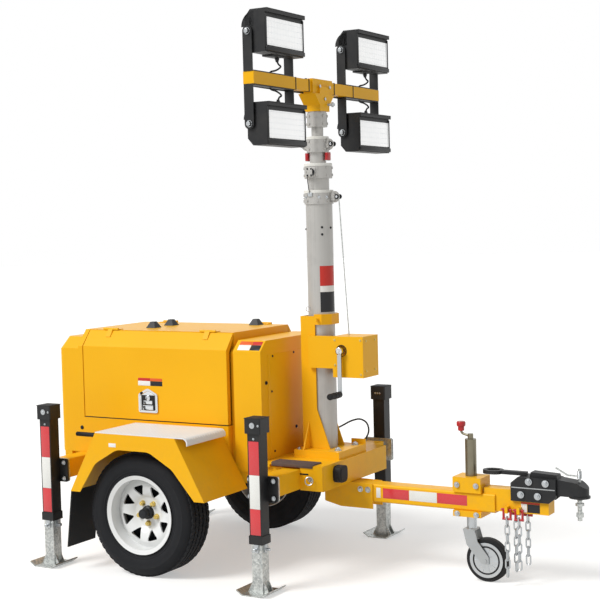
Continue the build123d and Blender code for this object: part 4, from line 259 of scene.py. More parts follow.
# %% [markdown]
# ## Zinc
# Hot-dip galvanised steel is known by its spangle: flat crystals 8 to 15 mm across, each a little
# lighter or darker than the next. A cell pattern gives each crystal its own grey, and a finer
# noise dulls it as weather does.

# %% Galvanised steel
SPANGLE = 9
zinc, tree, shader, place = start("galvanised_steel", "#A9ABA8", 0.42, 0.85)
warp = add(tree, "TexNoise", {"Vector": place, "Scale": per_metre(14), "Detail": 2.0})
crystal = add(tree, "TexVoronoi", {"Vector": place, "Scale": per_metre(SPANGLE)})
grey = add(tree, "SeparateXYZ", {0: crystal["Color"]})["X"]
mixed = add(tree, "Math", {0: grey, 1: warp[0]}, operation="ADD")
share = add(tree, "MapRange", {"Value": mixed[0], "From Min": 0.4, "From Max": 1.5})
tone = add(tree, "Mix", {0: share[0], 6: colour("#9C9F9E"), 7: colour("#C9CBC8")}, data_type="RGBA")
tree.links.new(tone[2], shader["Base Color"])
rough = add(tree, "MapRange", {"Value": share[0], "To Min": 0.5, "To Max": 0.3})
tree.links.new(rough[0], shader["Roughness"])
bump = add(tree, "Bump", {"Height": mixed[0], "Strength": 0.15, "Distance": 0.0006})
tree.links.new(bump[0], shader["Normal"])
print("galvanised steel:", len(tree.nodes), "nodes")

# %% [markdown]
# ## Aluminium
# The mast tubes are drawn aluminium. Drawing leaves long faint lines, so the noise of this finish is
# stretched along the tube, and a wider one smears it as hands and rain do.

# %% Drawn aluminium
DRAW_LINE = 2.5
DRAW_LENGTH = 900
aluminium, tree, shader, place = start("drawn_aluminium", "#ABA9A5", 0.42, 0.45)
stretch = add(tree, "Mapping", {"Vector": place, "Scale": (1, 1, DRAW_LINE / DRAW_LENGTH)})
lines = add(tree, "TexNoise", {"Vector": stretch[0], "Scale": per_metre(DRAW_LINE), "Detail": 3.0})
smear = add(tree, "TexNoise", {"Vector": place, "Scale": per_metre(90), "Detail": 4.0})
mixed = add(tree, "Math", {0: lines[0], 1: smear[0]}, operation="ADD")
tone = add(tree, "Mix", {0: mixed[0], 6: colour("#868481"), 7: colour("#B4B2AE")}, data_type="RGBA")
tree.links.new(tone[2], shader["Base Color"])
rough = add(tree, "MapRange", {"Value": mixed[0], "From Max": 2.0, "To Min": 0.34, "To Max": 0.56})
tree.links.new(rough[0], shader["Roughness"])
bump = add(tree, "Bump", {"Height": lines[0], "Strength": 0.12, "Distance": 0.0004})
tree.links.new(bump[0], shader["Normal"])
print("drawn aluminium:", len(tree.nodes), "nodes")

# %% [markdown]
# The step on each fender is aluminium chequer plate: small raised bars that lie one way and then
# the other. They could be thousands of tiny solids, but their height is only a millimetre, so a
# bump does it. The plane is cut into squares, a square's parity says which way its bar lies, and
# an ellipse across the square's diagonal gives the bar its round top.

# %% Chequer plate
BAR_SQUARE = 22
BAR_SLIMNESS = 3.4
BAR_SHORTNESS = 1.15
chequer, tree, shader, place = start("chequer_aluminium", "#F6F8FB", 0.45)
axes = add(tree, "SeparateXYZ", {0: place})
cells, parts = [], []
for axis in ("X", "Y"):
    scaled = add(tree, "Math", {0: axes[axis], 1: per_metre(BAR_SQUARE)}, operation="MULTIPLY")
    cells.append(add(tree, "Math", {0: scaled[0]}, operation="FLOOR")[0])
    share = add(tree, "Math", {0: scaled[0]}, operation="FRACT")
    parts.append(add(tree, "Math", {0: share[0], 1: 0.5}, operation="SUBTRACT")[0])
both = add(tree, "Math", {0: cells[0], 1: cells[1]}, operation="ADD")
halved = add(tree, "Math", {0: both[0], 1: 0.5}, operation="MULTIPLY")
parity = add(tree, "Math", {0: halved[0]}, operation="FRACT")
odd = add(tree, "Math", {0: parity[0], 1: 0.25}, operation="GREATER_THAN")
along = add(tree, "Math", {0: parts[0], 1: parts[1]}, operation="ADD")
across = add(tree, "Math", {0: parts[0], 1: parts[1]}, operation="SUBTRACT")
length = add(tree, "Mix", {0: odd[0], 2: along[0], 3: across[0]}, data_type="FLOAT")
width = add(tree, "Mix", {0: odd[0], 2: across[0], 3: along[0]}, data_type="FLOAT")
wide = add(tree, "Math", {0: width[0], 1: BAR_SLIMNESS}, operation="MULTIPLY")
far = add(tree, "Math", {0: length[0], 1: BAR_SHORTNESS}, operation="MULTIPLY")
square_far = add(tree, "Math", {0: far[0], 1: far[0]}, operation="MULTIPLY")
spread = add(tree, "Math", {0: wide[0], 1: wide[0], 2: square_far[0]}, operation="MULTIPLY_ADD")
bar = add(tree, "MapRange", {"Value": spread[0], "From Min": 0.45, "From Max": 0.12, "To Max": 1.0})
tone = add(tree, "Mix", {0: bar[0], 6: colour("#E3E7EB"), 7: colour("#FAFBFC")}, data_type="RGBA")
tree.links.new(tone[2], shader["Base Color"])
bump = add(tree, "Bump", {"Height": bar[0], "Strength": 0.9, "Distance": 0.0025})
tree.links.new(bump[0], shader["Normal"])
print("chequer plate:", len(tree.nodes), "nodes")

# %% [markdown]
# ## Rubber, enamel and cast iron
# Tyre rubber is carbon black, matt where it rubs and a little shiny on the sidewall. Moulded
# rubber and the extruded sheath of a cable are finer. Stoved enamel is thick and smooth, so it gets
# gloss and almost no grain. The coupling is cast iron under black paint, and the sand of its mould
# shows as a coarse bump.
# Yellow and olive zinc are thin plated coats that keep the shine of the steel and tint it. Chrome
# plate is a clear mirror, and cold-rolled stainless sheet is duller. Moulded nylon is warm white
# and waxy. They differ in few numbers, so one recipe with a cloudy tone and a fine grain makes
# them all. The numbers of a row are roughness, metallic, grain in millimetres and relief.

# %% Plain finishes
PLAIN = (
    ("tyre_rubber", "#121316", "#1F2023", 0.78, 0.0, 6, 0.35),
    ("black_rubber", "#141516", "#222223", 0.62, 0.0, 4, 0.25),
    ("white_wheel_enamel", "#E9EAEA", "#DDDEDC", 0.22, 0.0, 30, 0.05),
    ("red_enamel", "#BE1B20", "#A8151B", 0.28, 0.0, 20, 0.08),
    ("brown_rubber_mat", "#4A3B37", "#63514B", 0.7, 0.0, 5, 0.4),
    ("grey_enamel", "#B4B7B8", "#9EA1A2", 0.36, 0.3, 12, 0.1),
    ("cast_iron_paint", "#17181B", "#26282C", 0.34, 0.1, 5, 0.5),
    ("zinc_yellow_plate", "#DCC57A", "#C6AB5E", 0.3, 0.85, 6, 0.1),
    ("chrome_plate", "#DFE1E3", "#C4C7CA", 0.12, 1.0, 60, 0.03),
    ("stainless_sheet", "#C3C6C8", "#A7ABAE", 0.28, 0.95, 18, 0.12),
    ("olive_zinc_plate", "#8A8471", "#6F6958", 0.3, 0.75, 8, 0.08),
    ("nylon_white", "#ECEBE6", "#DCDAD2", 0.45, 0.0, 10, 0.06),
    ("cable_sheath_pvc", "#141516", "#202122", 0.42, 0.0, 3, 0.12),
)
DARK_FINISHES = ("tyre_rubber", "black_rubber", "cast_iron_paint", "cable_sheath_pvc")
DARK_SPECULAR = 0.25
USUAL_SPECULAR = 0.5
CLOUD_TO_GRAIN = 8
finishes = {}
for name, first, second, roughness, metallic, grain_mm, relief in PLAIN:
    specular = DARK_SPECULAR if name in DARK_FINISHES else USUAL_SPECULAR
    made, tree, shader, place = start(name, first, roughness, metallic, Specular_IOR_Level=specular)
    cloud_scale = per_metre(grain_mm * CLOUD_TO_GRAIN)
    cloud = add(tree, "TexNoise", {"Vector": place, "Scale": cloud_scale, "Detail": 4.0})
    tone = add(tree, "Mix", {0: cloud[0], 6: colour(first), 7: colour(second)}, data_type="RGBA")
    tree.links.new(tone[2], shader["Base Color"])
    rough = add(tree, "MapRange", {"Value": cloud[0], "To Min": roughness * 0.8,
                                  "To Max": roughness * 1.25})
    tree.links.new(rough[0], shader["Roughness"])
    grain = add(tree, "TexNoise", {"Vector": place, "Scale": per_metre(grain_mm), "Detail": 2.0})
    bump = add(tree, "Bump", {"Height": grain[0], "Strength": relief, "Distance": 0.001})
    tree.links.new(bump[0], shader["Normal"])
    finishes[name] = made
print(len(finishes), "plain finishes")

# %% [markdown]
# ## Finishes on the CAD solids
# The record already says which kind of surface each node has, so the finishes go on by that name.
# The outrigger beams with their flanges are galvanised in the photograph, so they get zinc. The
# jockey wheel's sleeve is plated in olive zinc, and its leg and the winch crank are bright steel
# without spangle, so these three are named one by one.

# %% Finishes on the nodes
BY_SLOT = {
    "yellow_powder_coat": yellow,
    "black_powder_coat": black,
    "galvanised_steel": zinc,
    "mast_aluminium": aluminium,
    "step_aluminium": chequer,
    "dark_steel": finishes["cast_iron_paint"],
    "cable_sheath": finishes["cable_sheath_pvc"],
}
EXCEPTIONS = {
    "jockey_sleeve": finishes["olive_zinc_plate"],
    "jockey_leg": finishes["stainless_sheet"],
    "winch_crank": finishes["stainless_sheet"],
}
for row in frame["record"]["subparts"]:
    node_name, slot_name = row["node"], row["material_slot"]
    if node_name.startswith("outrigger_beam"):
        finish = zinc
    else:
        finish = EXCEPTIONS.get(node_name) or BY_SLOT.get(slot_name) or finishes[slot_name]
    for place_on_node in nodes[node_name].material_slots:
        place_on_node.material = finish
print(len(nodes), "nodes finished")

# %% [markdown]
# ## Shapes for the added pieces
# Small parts of sheet, bar and turned metal are much alike, so a few helpers make them, each as its
# own small bmesh about the origin. The first two are a box and a bar with broken edges. No real
# edge is sharp, and the thin line of light on a rounded one is what makes a part look made.

# %% Boxes and bars
MERGE_MM = 0.001


def soften(part, edges, offset, segments=2):
    """Round some edges of a part."""
    bmesh.ops.bevel(part, geom=edges, offset=offset, segments=segments, affect="EDGES", profile=0.5,
                    material=-1)


def box_part(x, y, z, edge=0.0):
    """Box about the origin with rounded edges."""
    part = bmesh.new()
    bmesh.ops.create_cube(part, size=1)
    bmesh.ops.scale(part, vec=(x, y, z), verts=part.verts)
    if edge:
        soften(part, part.edges[:], edge)
    return part


def rod_part(radius, length, edge, sides):
    """Round or six-sided bar that stands on the origin along Z, with rounded rims."""
    part = bmesh.new()
    bmesh.ops.create_cone(part, cap_ends=True, segments=sides, radius1=radius, radius2=radius, depth=length)
    bmesh.ops.translate(part, vec=(0, 0, length / 2), verts=part.verts)
    rims = [e for e in part.edges if abs(e.verts[0].co.z - e.verts[1].co.z) < MERGE_MM]
    soften(part, rims, edge)
    return part


sample = box_part(10, 10, 10, 1)
print("a box with rounded edges has", len(sample.faces), "faces")
sample.free()

# %% [markdown]
# Turned metal, rings and caps come from a spin of half their outline. Flat plates come from an
# outline that is drawn up to a thickness. Both could be built face by face, but the operators keep
# the seam closed, and the normals are worked out again after them.

# %% Turned shapes and plates
def turned_part(profile, steps):
    """Shape turned about Z from radius and height pairs; a closed ring if the first pair ends it."""
    part = bmesh.new()
    points = [part.verts.new((radius, 0, height)) for radius, height in profile]
    lines = [part.edges.new(pair) for pair in zip(points, points[1:])]
    bmesh.ops.spin(part, geom=points + lines, axis=(0, 0, 1), cent=(0, 0, 0), angle=math.tau, steps=steps,
                   use_merge=True)
    bmesh.ops.remove_doubles(part, verts=part.verts, dist=MERGE_MM)
    bmesh.ops.recalc_face_normals(part, faces=part.faces)
    return part


def raise_faces(part, height):
    """Draw the flat faces of a part up along Z, and give what was raised."""
    raised = bmesh.ops.extrude_face_region(part, geom=part.faces[:])["geom"]
    corners = [v for v in raised if isinstance(v, bmesh.types.BMVert)]
    bmesh.ops.translate(part, vec=(0, 0, height), verts=corners)
    return raised


def plate_part(outline, thickness, edge=0.0):
    """Plate of a thickness along Z, from its outline in X and Y."""
    part = bmesh.new()
    part.faces.new([part.verts.new((x, y, 0)) for x, y in outline])
    raise_faces(part, thickness)
    bmesh.ops.recalc_face_normals(part, faces=part.faces)
    if edge:
        soften(part, part.edges[:], edge, 1)
    return part


sample = turned_part(((0, 0), (10, 0), (10, 5), (0, 5)), 12)
print("a turned disc has", len(sample.faces), "faces")
sample.free()

# %% [markdown]
# A lead follows a smooth line through the air, which a spin can't do. A curve with a round bevel
# does it, and it is made a mesh at once, so that it goes into a piece like any other part.

# %% Leads
def lead_part(points, radius):
    """Round lead along a smooth line through its control points."""
    line = bpy.data.curves.new("lead", "CURVE")
    line.dimensions = "3D"
    spline = line.splines.new("NURBS")
    spline.points.add(len(points) - 1)
    for place_on_line, point in zip(spline.points, points):
        place_on_line.co = (*point, 1)
    spline.order_u = 3
    spline.use_endpoint_u = True
    spline.resolution_u = 8
    line.bevel_depth = radius
    line.bevel_resolution = 3
    line.use_fill_caps = True
    holder = bpy.data.objects.new("lead", line)
    tube = bpy.data.meshes.new_from_object(holder)
    part = bmesh.new()
    part.from_mesh(tube)
    bpy.data.objects.remove(holder)
    bpy.data.curves.remove(line)
    bpy.data.meshes.remove(tube)
    return part


sample = lead_part(((0, 0, 0), (10, 0, 0), (20, 10, 0)), 2)
print("a short lead has", len(sample.faces), "faces")
sample.free()

# %% [markdown]
# A matrix sets each part into the piece that it belongs to. This keeps the measuring in drawing
# millimetres until the piece is whole. A part also brings the number of its finish, so one piece
# may have several.

# %% Setting parts in a form
def aim(point, direction, turn=0.0):
    """Matrix that stands a part on a point, along a direction, turned about itself in degrees."""
    lean = Vector(direction).to_track_quat("Z", "Y").to_matrix().to_4x4()
    return Matrix.Translation(Vector(point)) @ lean @ Matrix.Rotation(math.radians(turn), 4, "Z")


def put(form, part, place=None, material=0):
    """Set a part into a form, with its finish number."""
    if place is not None:
        bmesh.ops.transform(part, matrix=place, verts=part.verts)
    for face in part.faces:
        face.material_index = material
    loose = bpy.data.meshes.new("part")
    part.to_mesh(loose)
    part.free()
    form.from_mesh(loose)
    bpy.data.meshes.remove(loose)


def put_box(form, size, centre, edge, material=0):
    """Set a box into a form about its centre."""
    put(form, box_part(*size, edge), Matrix.Translation(centre), material)


sample = bmesh.new()
put_box(sample, (10, 10, 10), (0, 0, 50), 1)
print("a box set at 50 mm reaches", max(corner.co.z for corner in sample.verts), "mm")
sample.free()

# %% [markdown]
# ## Pieces
# A form becomes a piece when it has its mesh in metres, its finish and the body that it rides on.
# Faces that meet at a sharp angle stay sharp, and the rest is shaded smooth. One function does it
# for every piece, so that none misses a step.

# %% Piece helper
SHARP_FROM = math.radians(32)


def make_piece(name, form, finish, body=None, replaces=()):
    """Turn a form in drawing millimetres into a piece of the tower that rides on a body."""
    bmesh.ops.transform(form, matrix=TO_MODEL, verts=form.verts)
    mesh = bpy.data.meshes.new(name)
    form.to_mesh(mesh)
    form.free()
    coats = finish if isinstance(finish, list) else [finish]
    for one in coats:
        mesh.materials.append(one)
    mesh.shade_smooth()
    mesh.set_sharp_from_angle(angle=SHARP_FROM)
    made = bpy.data.objects.new(name, mesh)
    bpy.context.scene.collection.objects.link(made)
    if body:
        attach(made, body)
    if replaces:
        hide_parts(*replaces)
    print(name, len(mesh.polygons), "faces")
    return made


SIDES = (("right", -1), ("left", 1))
CORNERS = (("front", 718), ("rear", -606))

# %% [markdown]
# ## Tyres
# A trailer tyre is a steel-cord radial: a smooth sidewall with a few fine rings, a rounded
# shoulder, and a tread of zigzag ribs parted by grooves. One pitch of tread could be copied by an
# array, but a spin with duplicates does the same in one step and lands exactly on the circle. The
# ribs zigzag because each pitch holds two slanted blocks that lean opposite ways.

# %% Tread
TREAD_PITCHES = 56
TREAD_RIBS = ((-63, 22), (-33, 23), (0, 25), (33, 23), (63, 22))
TREAD_TOP = 324.4
TREAD_BASE = 315
GROOVE = 1.6
ZIGZAG = 4.5


def tread_pitch():
    """Two slanted blocks for each rib, at the start of the circle, with Z as the axle."""
    part = bmesh.new()
    step = math.tau / TREAD_PITCHES
    length = TREAD_TOP * step / 2 - GROOVE
    for index, (middle, width) in enumerate(TREAD_RIBS):
        odd = index % 2
        for half in (0, 1):
            lean = Matrix.Identity(4)
            lean[2][1] = ZIGZAG * (2 * half - 1) / length * (-1 if odd else 1)
            turn = Matrix.Rotation(step * (half + 0.5 * odd) / 2, 4, "Z")
            spot = Matrix.Translation(((TREAD_TOP + TREAD_BASE) / 2, 0, middle))
            put(part, box_part(TREAD_TOP - TREAD_BASE, length, width), turn @ spot @ lean)
    return part


sample = tread_pitch()
print("a pitch of tread has", len(sample.faces), "faces")
sample.free()

# %% [markdown]
# The tyre's body is turned from one half of its outline and the mirrored other half. Tyre, disc,
# nuts and drum are all made about Z, and one matrix lays them on the axle, on either side.

# %% Tyres
AXLE_HEIGHT = 325
WHEEL_Y = 600
TYRE_OUTLINE = (
    (189.6, 80), (206.6, 88.5), (214, 89), (222, 90), (226, 94), (232, 94), (236, 97), (255, 99),
    (272, 98.6), (276, 100), (281, 98.4), (294, 93), (306, 86), (314, 78), (316.5, 70),
)


def on_axle(side, y=WHEEL_Y):
    """Place on the axle's line, with Z pointing away from the trailer."""
    return aim((0, side * y, AXLE_HEIGHT), (0, side, 0))


for side_name, side in SIDES:
    whole = [*TYRE_OUTLINE, *((radius, -offset) for radius, offset in reversed(TYRE_OUTLINE))]
    form = bmesh.new()
    put(form, turned_part([*whole, whole[0]], 96))
    tread = tread_pitch()
    pitch = [*tread.verts, *tread.edges, *tread.faces]
    bmesh.ops.spin(tread, geom=pitch, axis=(0, 0, 1), cent=(0, 0, 0), use_duplicate=True,
                   angle=math.tau * (TREAD_PITCHES - 1) / TREAD_PITCHES, steps=TREAD_PITCHES - 1)
    put(form, tread)
    bmesh.ops.transform(form, matrix=on_axle(side), verts=form.verts)
    make_piece("tyre_tread_" + side_name, form, finishes["tyre_rubber"], "wheel_" + side_name,
               ["tyre_" + side_name])

# %% [markdown]
# ## Wheel discs
# The eight holes of the real disc are wide triangles with round corners, each with one point
# towards the hub. The rim that CAD gives has smaller holes and a flatter disc, so the whole rim is
# turned again with the same barrel, a hub that lies deeper and a ring that swells round the holes.
# The holes are cut by a Boolean, which is the one clean way to open a dished plate, and its result
# is read back as a mesh at once.

# %% Hole outline and cutting
HOLE_CORNERS = ((85, 0), (146, 37), (146, -37))
CORNER_REACH = 17
CORNER_STEPS = 5


def round_hole():
    """Outline of a hole, with each corner drawn as a short smooth bend."""
    outline = []
    corners = [Vector(corner) for corner in HOLE_CORNERS]
    for before, corner, after in zip(corners[-1:] + corners[:-1], corners, corners[1:] + corners[:1]):
        start_point = corner + (before - corner).normalized() * CORNER_REACH
        end_point = corner + (after - corner).normalized() * CORNER_REACH
        for step in range(CORNER_STEPS + 1):
            t = step / CORNER_STEPS
            outline.append((1 - t) ** 2 * start_point + 2 * t * (1 - t) * corner + t * t * end_point)
    return [tuple(point) for point in outline]


def cut_part(solid, cutter):
    """The solid without the cutter; both are given as a bmesh and used up."""
    holders = []
    for name, part in (("solid", solid), ("cutter", cutter)):
        mesh = bpy.data.meshes.new(name)
        part.to_mesh(mesh)
        part.free()
        holders.append(bpy.data.objects.new(name, mesh))
        bpy.context.scene.collection.objects.link(holders[-1])
    knife = holders[0].modifiers.new("cut", "BOOLEAN")
    knife.operation = "DIFFERENCE"
    knife.solver = "EXACT"
    knife.object = holders[1]
    shaped = holders[0].evaluated_get(bpy.context.evaluated_depsgraph_get())
    part = bmesh.new()
    part.from_mesh(shaped.to_mesh())
    shaped.to_mesh_clear()
    for holder in holders:
        mesh = holder.data
        bpy.data.objects.remove(holder)
        bpy.data.meshes.remove(mesh)
    return part


print("a hole's outline has", len(round_hole()), "points")

# %% [markdown]
# Barrel, disc and hub are three turned shapes that run into one another where the real ones are
# welded. The disc is cut on its own first, so that the Boolean works on one clean shell.

# %% Wheel discs
BARREL = ((184, -86), (190, -86), (190, 86.3), (206, 93.7), (206, 96.7), (184, 89), (184, -86))
DISC = (
    (22.1, 12), (76, 12), (84, 16), (99, 30), (126, 39), (144, 41), (158, 37), (171, 25), (184.5, 19),
    (184.5, 10), (170, 15), (155, 28), (143, 33), (128, 31), (103, 22), (88, 8), (78, 4), (22.1, 4),
    (22.1, 12),
)
HUB = ((22.1, -60), (62, -60), (62, 4.1), (22.1, 4.1), (22.1, -60))
HOLE_COUNT = 8
FIRST_HOLE = math.radians(17)
CUT_START = -40
CUT_DEPTH = 90
for side_name, side in SIDES:
    holes = bmesh.new()
    for turn in range(HOLE_COUNT):
        angle = Matrix.Rotation(FIRST_HOLE + math.tau * turn / HOLE_COUNT, 4, "Z")
        put(holes, plate_part(round_hole(), CUT_DEPTH), angle @ Matrix.Translation((0, 0, CUT_START)))
    disc = cut_part(turned_part(DISC, 96), holes)
    form = bmesh.new()
    for part in (turned_part(BARREL, 96), disc, turned_part(HUB, 48)):
        put(form, part, on_axle(side))
    make_piece("wheel_disc_" + side_name, form, finishes["white_wheel_enamel"], "wheel_" + side_name,
               ["rim_" + side_name])

# %% [markdown]
# ## Wheel nuts and hub cap
# Five nuts with yellow zinc plate hold each wheel, and a stepped black cap closes the hub. A nut is
# a turned flange, a six-sided head and the end of its stud. The cap is hollow where it stands over
# the end of the axle. A short rubber valve leans out beside the holes.

# %% Wheel nuts and hub cap
HUB_FACE_Y = WHEEL_Y + 12
NUT_CIRCLE = 57
NUT_COUNT = 5
FLANGE = ((0, 0), (15, 0), (15, 2), (12.5, 6), (0, 6))
CAP = (
    (0, 55), (22.6, 55), (22.6, 0), (36, 0), (36, 4), (34, 9), (33, 17), (29, 20), (25.5, 21),
    (25.5, 51), (23, 56), (18, 57.5), (0, 57.5),
)
VALVE = ((0, 0), (4.5, 0), (4.5, 4), (3.2, 8), (3.2, 26), (4, 27), (4, 34), (0, 34))
VALVE_OFFSET = 112
for side_name, side in SIDES:
    form = bmesh.new()
    for turn in range(NUT_COUNT):
        angle = math.tau / NUT_COUNT * (turn + 0.25)
        spot = (NUT_CIRCLE * math.cos(angle), side * HUB_FACE_Y, AXLE_HEIGHT - NUT_CIRCLE * math.sin(angle))
        put(form, turned_part(FLANGE, 24), aim(spot, (0, side, 0)))
        put(form, rod_part(12.6, 18.5, 1.6, 6), aim(spot, (0, side, 0), 15 * turn))
        put(form, rod_part(6, 23, 1, 12), aim(spot, (0, side, 0)))
    put(form, turned_part(CAP, 32), on_axle(side, HUB_FACE_Y), 1)
    stem = (VALVE_OFFSET, side * (HUB_FACE_Y + 10), AXLE_HEIGHT + VALVE_OFFSET)
    put(form, turned_part(VALVE, 12), aim(stem, (0.25, side, 0.3)), 2)
    make_piece("wheel_nuts_" + side_name, form,
               [finishes["zinc_yellow_plate"], finishes["cast_iron_paint"], finishes["black_rubber"]],
               "wheel_" + side_name)

# %% [markdown]
# The holes of the real disc show black, and that is the brake drum behind it. The CAD wheel is open
# there, so a painted drum face is turned and rides with each wheel.

# %% Brake drums
DRUM_Y = 590
DRUM_FACE = ((74, -30), (172, -30), (176, -26), (176, -8), (168, -2), (110, 0), (74, 0), (74, -30))
for side_name, side in SIDES:
    form = bmesh.new()
    put(form, turned_part(DRUM_FACE, 64), on_axle(side, DRUM_Y))
    make_piece("brake_drum_" + side_name, form, finishes["cast_iron_paint"], "wheel_" + side_name)

# %% [markdown]
# ## Floodlights
# Each floodlight is a die-cast housing with a clear prismatic window over a board of light
# emitting diodes. From outside the window looks white, with the faint grid of the little lenses.
# A real board could be modelled diode by diode, but at this distance only the grid shows, so the
# window is one crowned plate and its grid is in the material.

# %% Lamp window material
LENS_PITCH = 27
WINDOW_PAINTED_GLOW = 0.28
prismatic, tree, shader, place = start("prismatic_polycarbonate", "#F4F6F7", 0.16, Coat_Weight=0.5)
axes = add(tree, "SeparateXYZ", {0: place})
flat = add(tree, "CombineXYZ", {0: axes["Y"], 1: axes["Z"]})
grid = add(tree, "TexBrick", {
    "Vector": flat[0], "Scale": per_metre(LENS_PITCH), "Brick Width": 1.0, "Row Height": 1.0,
    "Color1": WHITE, "Color2": colour("#FBFCFC"), "Mortar": colour("#DCE0E4"),
    "Mortar Size": 0.03, "Mortar Smooth": 0.4}, offset=0.0)
tree.links.new(grid["Color"], shader["Base Color"])
tree.links.new(grid["Color"], shader["Emission Color"])
# The glow is painted light: the lamps are not lit, and it only lifts the white of the window.
shader["Emission Strength"].default_value = WINDOW_PAINTED_GLOW
bump = add(tree, "Bump", {"Height": grid["Fac"], "Strength": 0.3, "Distance": 0.002}, invert=True)
tree.links.new(bump[0], shader["Normal"])
print("lamp window:", len(tree.nodes), "nodes")

# %% [markdown]
# A lamp also has a bezel with a hood lip, quarter-round ears where the strap turns, a back plate
# and a gland for its lead. They are all black and never move apart, so they are one piece. The
# gland is on the side of the lamp that looks at the crossbar: under an upper lamp, over a lower one.

# %% Lamp bezel
MAST_X = 718
BAR_Z = 2515
LAMP_FRONT = 812
LAMP_HALF = 181
EAR_RADIUS = 74


def lamp_bezel(y, z, up):
    """Bezel, ears and gland of the lamp with its middle at y and z."""
    form = bmesh.new()
    steps = [step * math.pi / 16 for step in range(9)]
    ear = [(EAR_RADIUS * math.cos(a), EAR_RADIUS * math.sin(a)) for a in steps]
    upright = Matrix.Rotation(math.pi / 2, 4, "X") @ Matrix.Rotation(math.pi / 2, 4, "Z")
    for end in (-1, 1):
        put_box(form, (9, 10, 170), (LAMP_FRONT + 1.5, y + end * 175, z - 6), 2)
        spot = Matrix.Translation((MAST_X + 34, y + end * (LAMP_HALF - 2) + 4, z + 22))
        put(form, plate_part([(0, 0), *ear], 6, 0.8), spot @ upright)
    put_box(form, (16, 360, 22), (LAMP_FRONT + 4, y, z - 88), 4)
    put_box(form, (20, 362, 8), (LAMP_FRONT + 4, y, z + 99), 3)
    put_box(form, (60, 120, 10), (MAST_X + 28, y, z - up * 106), 3)
    gland = (MAST_X + 22, y + 44, z - up * 108)
    put(form, rod_part(11, 14, 1.5, 6), aim(gland, (0, 0, -up)))
    put(form, rod_part(8, 22, 2, 16), aim(gland, (0, 0, -up)))
    return form


sample = lamp_bezel(0, 0, 1)
print("a bezel has", len(sample.faces), "faces")
sample.free()

# %% [markdown]
# A bright bolt on each side is the lamp's pivot, and it stays on the crossbar. The lead is a short
# rubber hose from the gland to the crossbar.

# %% Floodlight pieces
LAMP_Y = 469
PIVOT_RISE = 222
PIVOT_REACH = 194
WASHER = ((0, 0), (17, 0), (17, 2.4), (9, 3.2), (0, 3.2))
LEAD_RADIUS = 4.5
LEAD_ROUTE = ((0, 0, 126), (4, 2, 142), (10, 26, 150), (-4, -4, 172), (-22, -40, 178), (-22, -40, 192))
for side_name, side in SIDES:
    for level_name, up in (("upper", 1), ("lower", -1)):
        y = side * LAMP_Y
        z = BAR_Z + up * PIVOT_RISE
        name = level_name + "_" + side_name
        body = "floodlight_" + name
        form = bmesh.new()
        put_box(form, (4, 342, 134), (LAMP_FRONT + 1.6, y, z - 4), 1.5)
        make_piece("lamp_window_" + name, form, prismatic, body)
        make_piece("lamp_bezel_" + name, lamp_bezel(y, z, up), black, body)
        form = bmesh.new()
        for end in (-1, 1):
            pivot = aim((MAST_X, y + end * PIVOT_REACH, z), (0, end, 0))
            put(form, turned_part(WASHER, 24), pivot)
            put(form, rod_part(12.5, 12.5, 1.4, 6), pivot)
        make_piece("lamp_bolts_" + name, form, finishes["stainless_sheet"], "mast_head")
        gland = (MAST_X + 22, y + 44)
        form = bmesh.new()
        route = [(gland[0] + dx, gland[1] + dy, z - up * fall) for dx, dy, fall in LEAD_ROUTE]
        put(form, lead_part(route, LEAD_RADIUS))
        lead = make_piece("lamp_lead_" + name, form, finishes["cable_sheath_pvc"])
        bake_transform(lead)

# %% [markdown]
# ## Crossbar fittings
# Black ties hold the supply lead under the crossbar. A tie is a thin band, so four plates round the
# bar make it, with the little lock on top. Bright screws hold the head of the mast, and one of them
# is the long clamp screw.

# %% Crossbar fittings
TIES_Y = (-262, -128, 140, 352)
SUPPLY_RUNS = ((-640, -120), (120, 640))
HEAD_NUTS = ((0, 2452), (-52, BAR_Z), (52, BAR_Z))
CLAMP_Z = 2424
CLAMP_DIRECTION = (1, 0.4, 0)
form = bmesh.new()
for y in TIES_Y:
    for turn in range(4):
        quarter = Matrix.Rotation(turn * math.pi / 2, 4, "Y")
        band = Matrix.Translation((MAST_X, y, BAR_Z)) @ quarter @ Matrix.Translation((0, 0, 31))
        put(form, box_part(63.6, 7, 2), band)
    put_box(form, (9, 10, 7), (MAST_X + 12, y, BAR_Z + 34), 1)
for y0, y1 in SUPPLY_RUNS:
    run = [(MAST_X - 12, y0, BAR_Z - 35), (MAST_X - 14, (y0 + y1) / 2, BAR_Z - 38),
           (MAST_X - 12, y1, BAR_Z - 35)]
    put(form, lead_part(run, LEAD_RADIUS))
make_piece("crossbar_ties", form, finishes["cable_sheath_pvc"], "mast_head")
form = bmesh.new()
for y, z in HEAD_NUTS:
    put(form, rod_part(9, 6, 1, 6), aim((MAST_X + 49, y, z), (1, 0, 0)))
put(form, rod_part(7, 46, 1, 16), aim((MAST_X + 40, 30, CLAMP_Z), CLAMP_DIRECTION))
put(form, rod_part(13, 12, 2, 6), aim((MAST_X + 66, 40, CLAMP_Z), CLAMP_DIRECTION))
make_piece("crossbar_screws", form, finishes["stainless_sheet"], "mast_head")

# %% [markdown]
# ## Bolts
# One kind of hexagon bolt holds flanges, brackets and clamps all over the trailer: a washer, a head
# with broken corners, and the end of its thread. It could be copied from one finished bolt, but a
# helper that makes it in any size and finish is as short.

# %% Bolt helper
def bolt(form, point, direction, size, material=0):
    """Hexagon head on its washer; size is the head's radius."""
    place = aim(point, direction, 30)
    washer = ((0, 0), (size * 1.3, 0), (size * 1.3, size * 0.16), (size, size * 0.22), (0, size * 0.22))
    put(form, turned_part(washer, 20), place, material)
    put(form, rod_part(size, size * 0.85, size * 0.12, 6), place, material)
    put(form, rod_part(size * 0.5, size * 1.15, size * 0.1, 12), place, material)


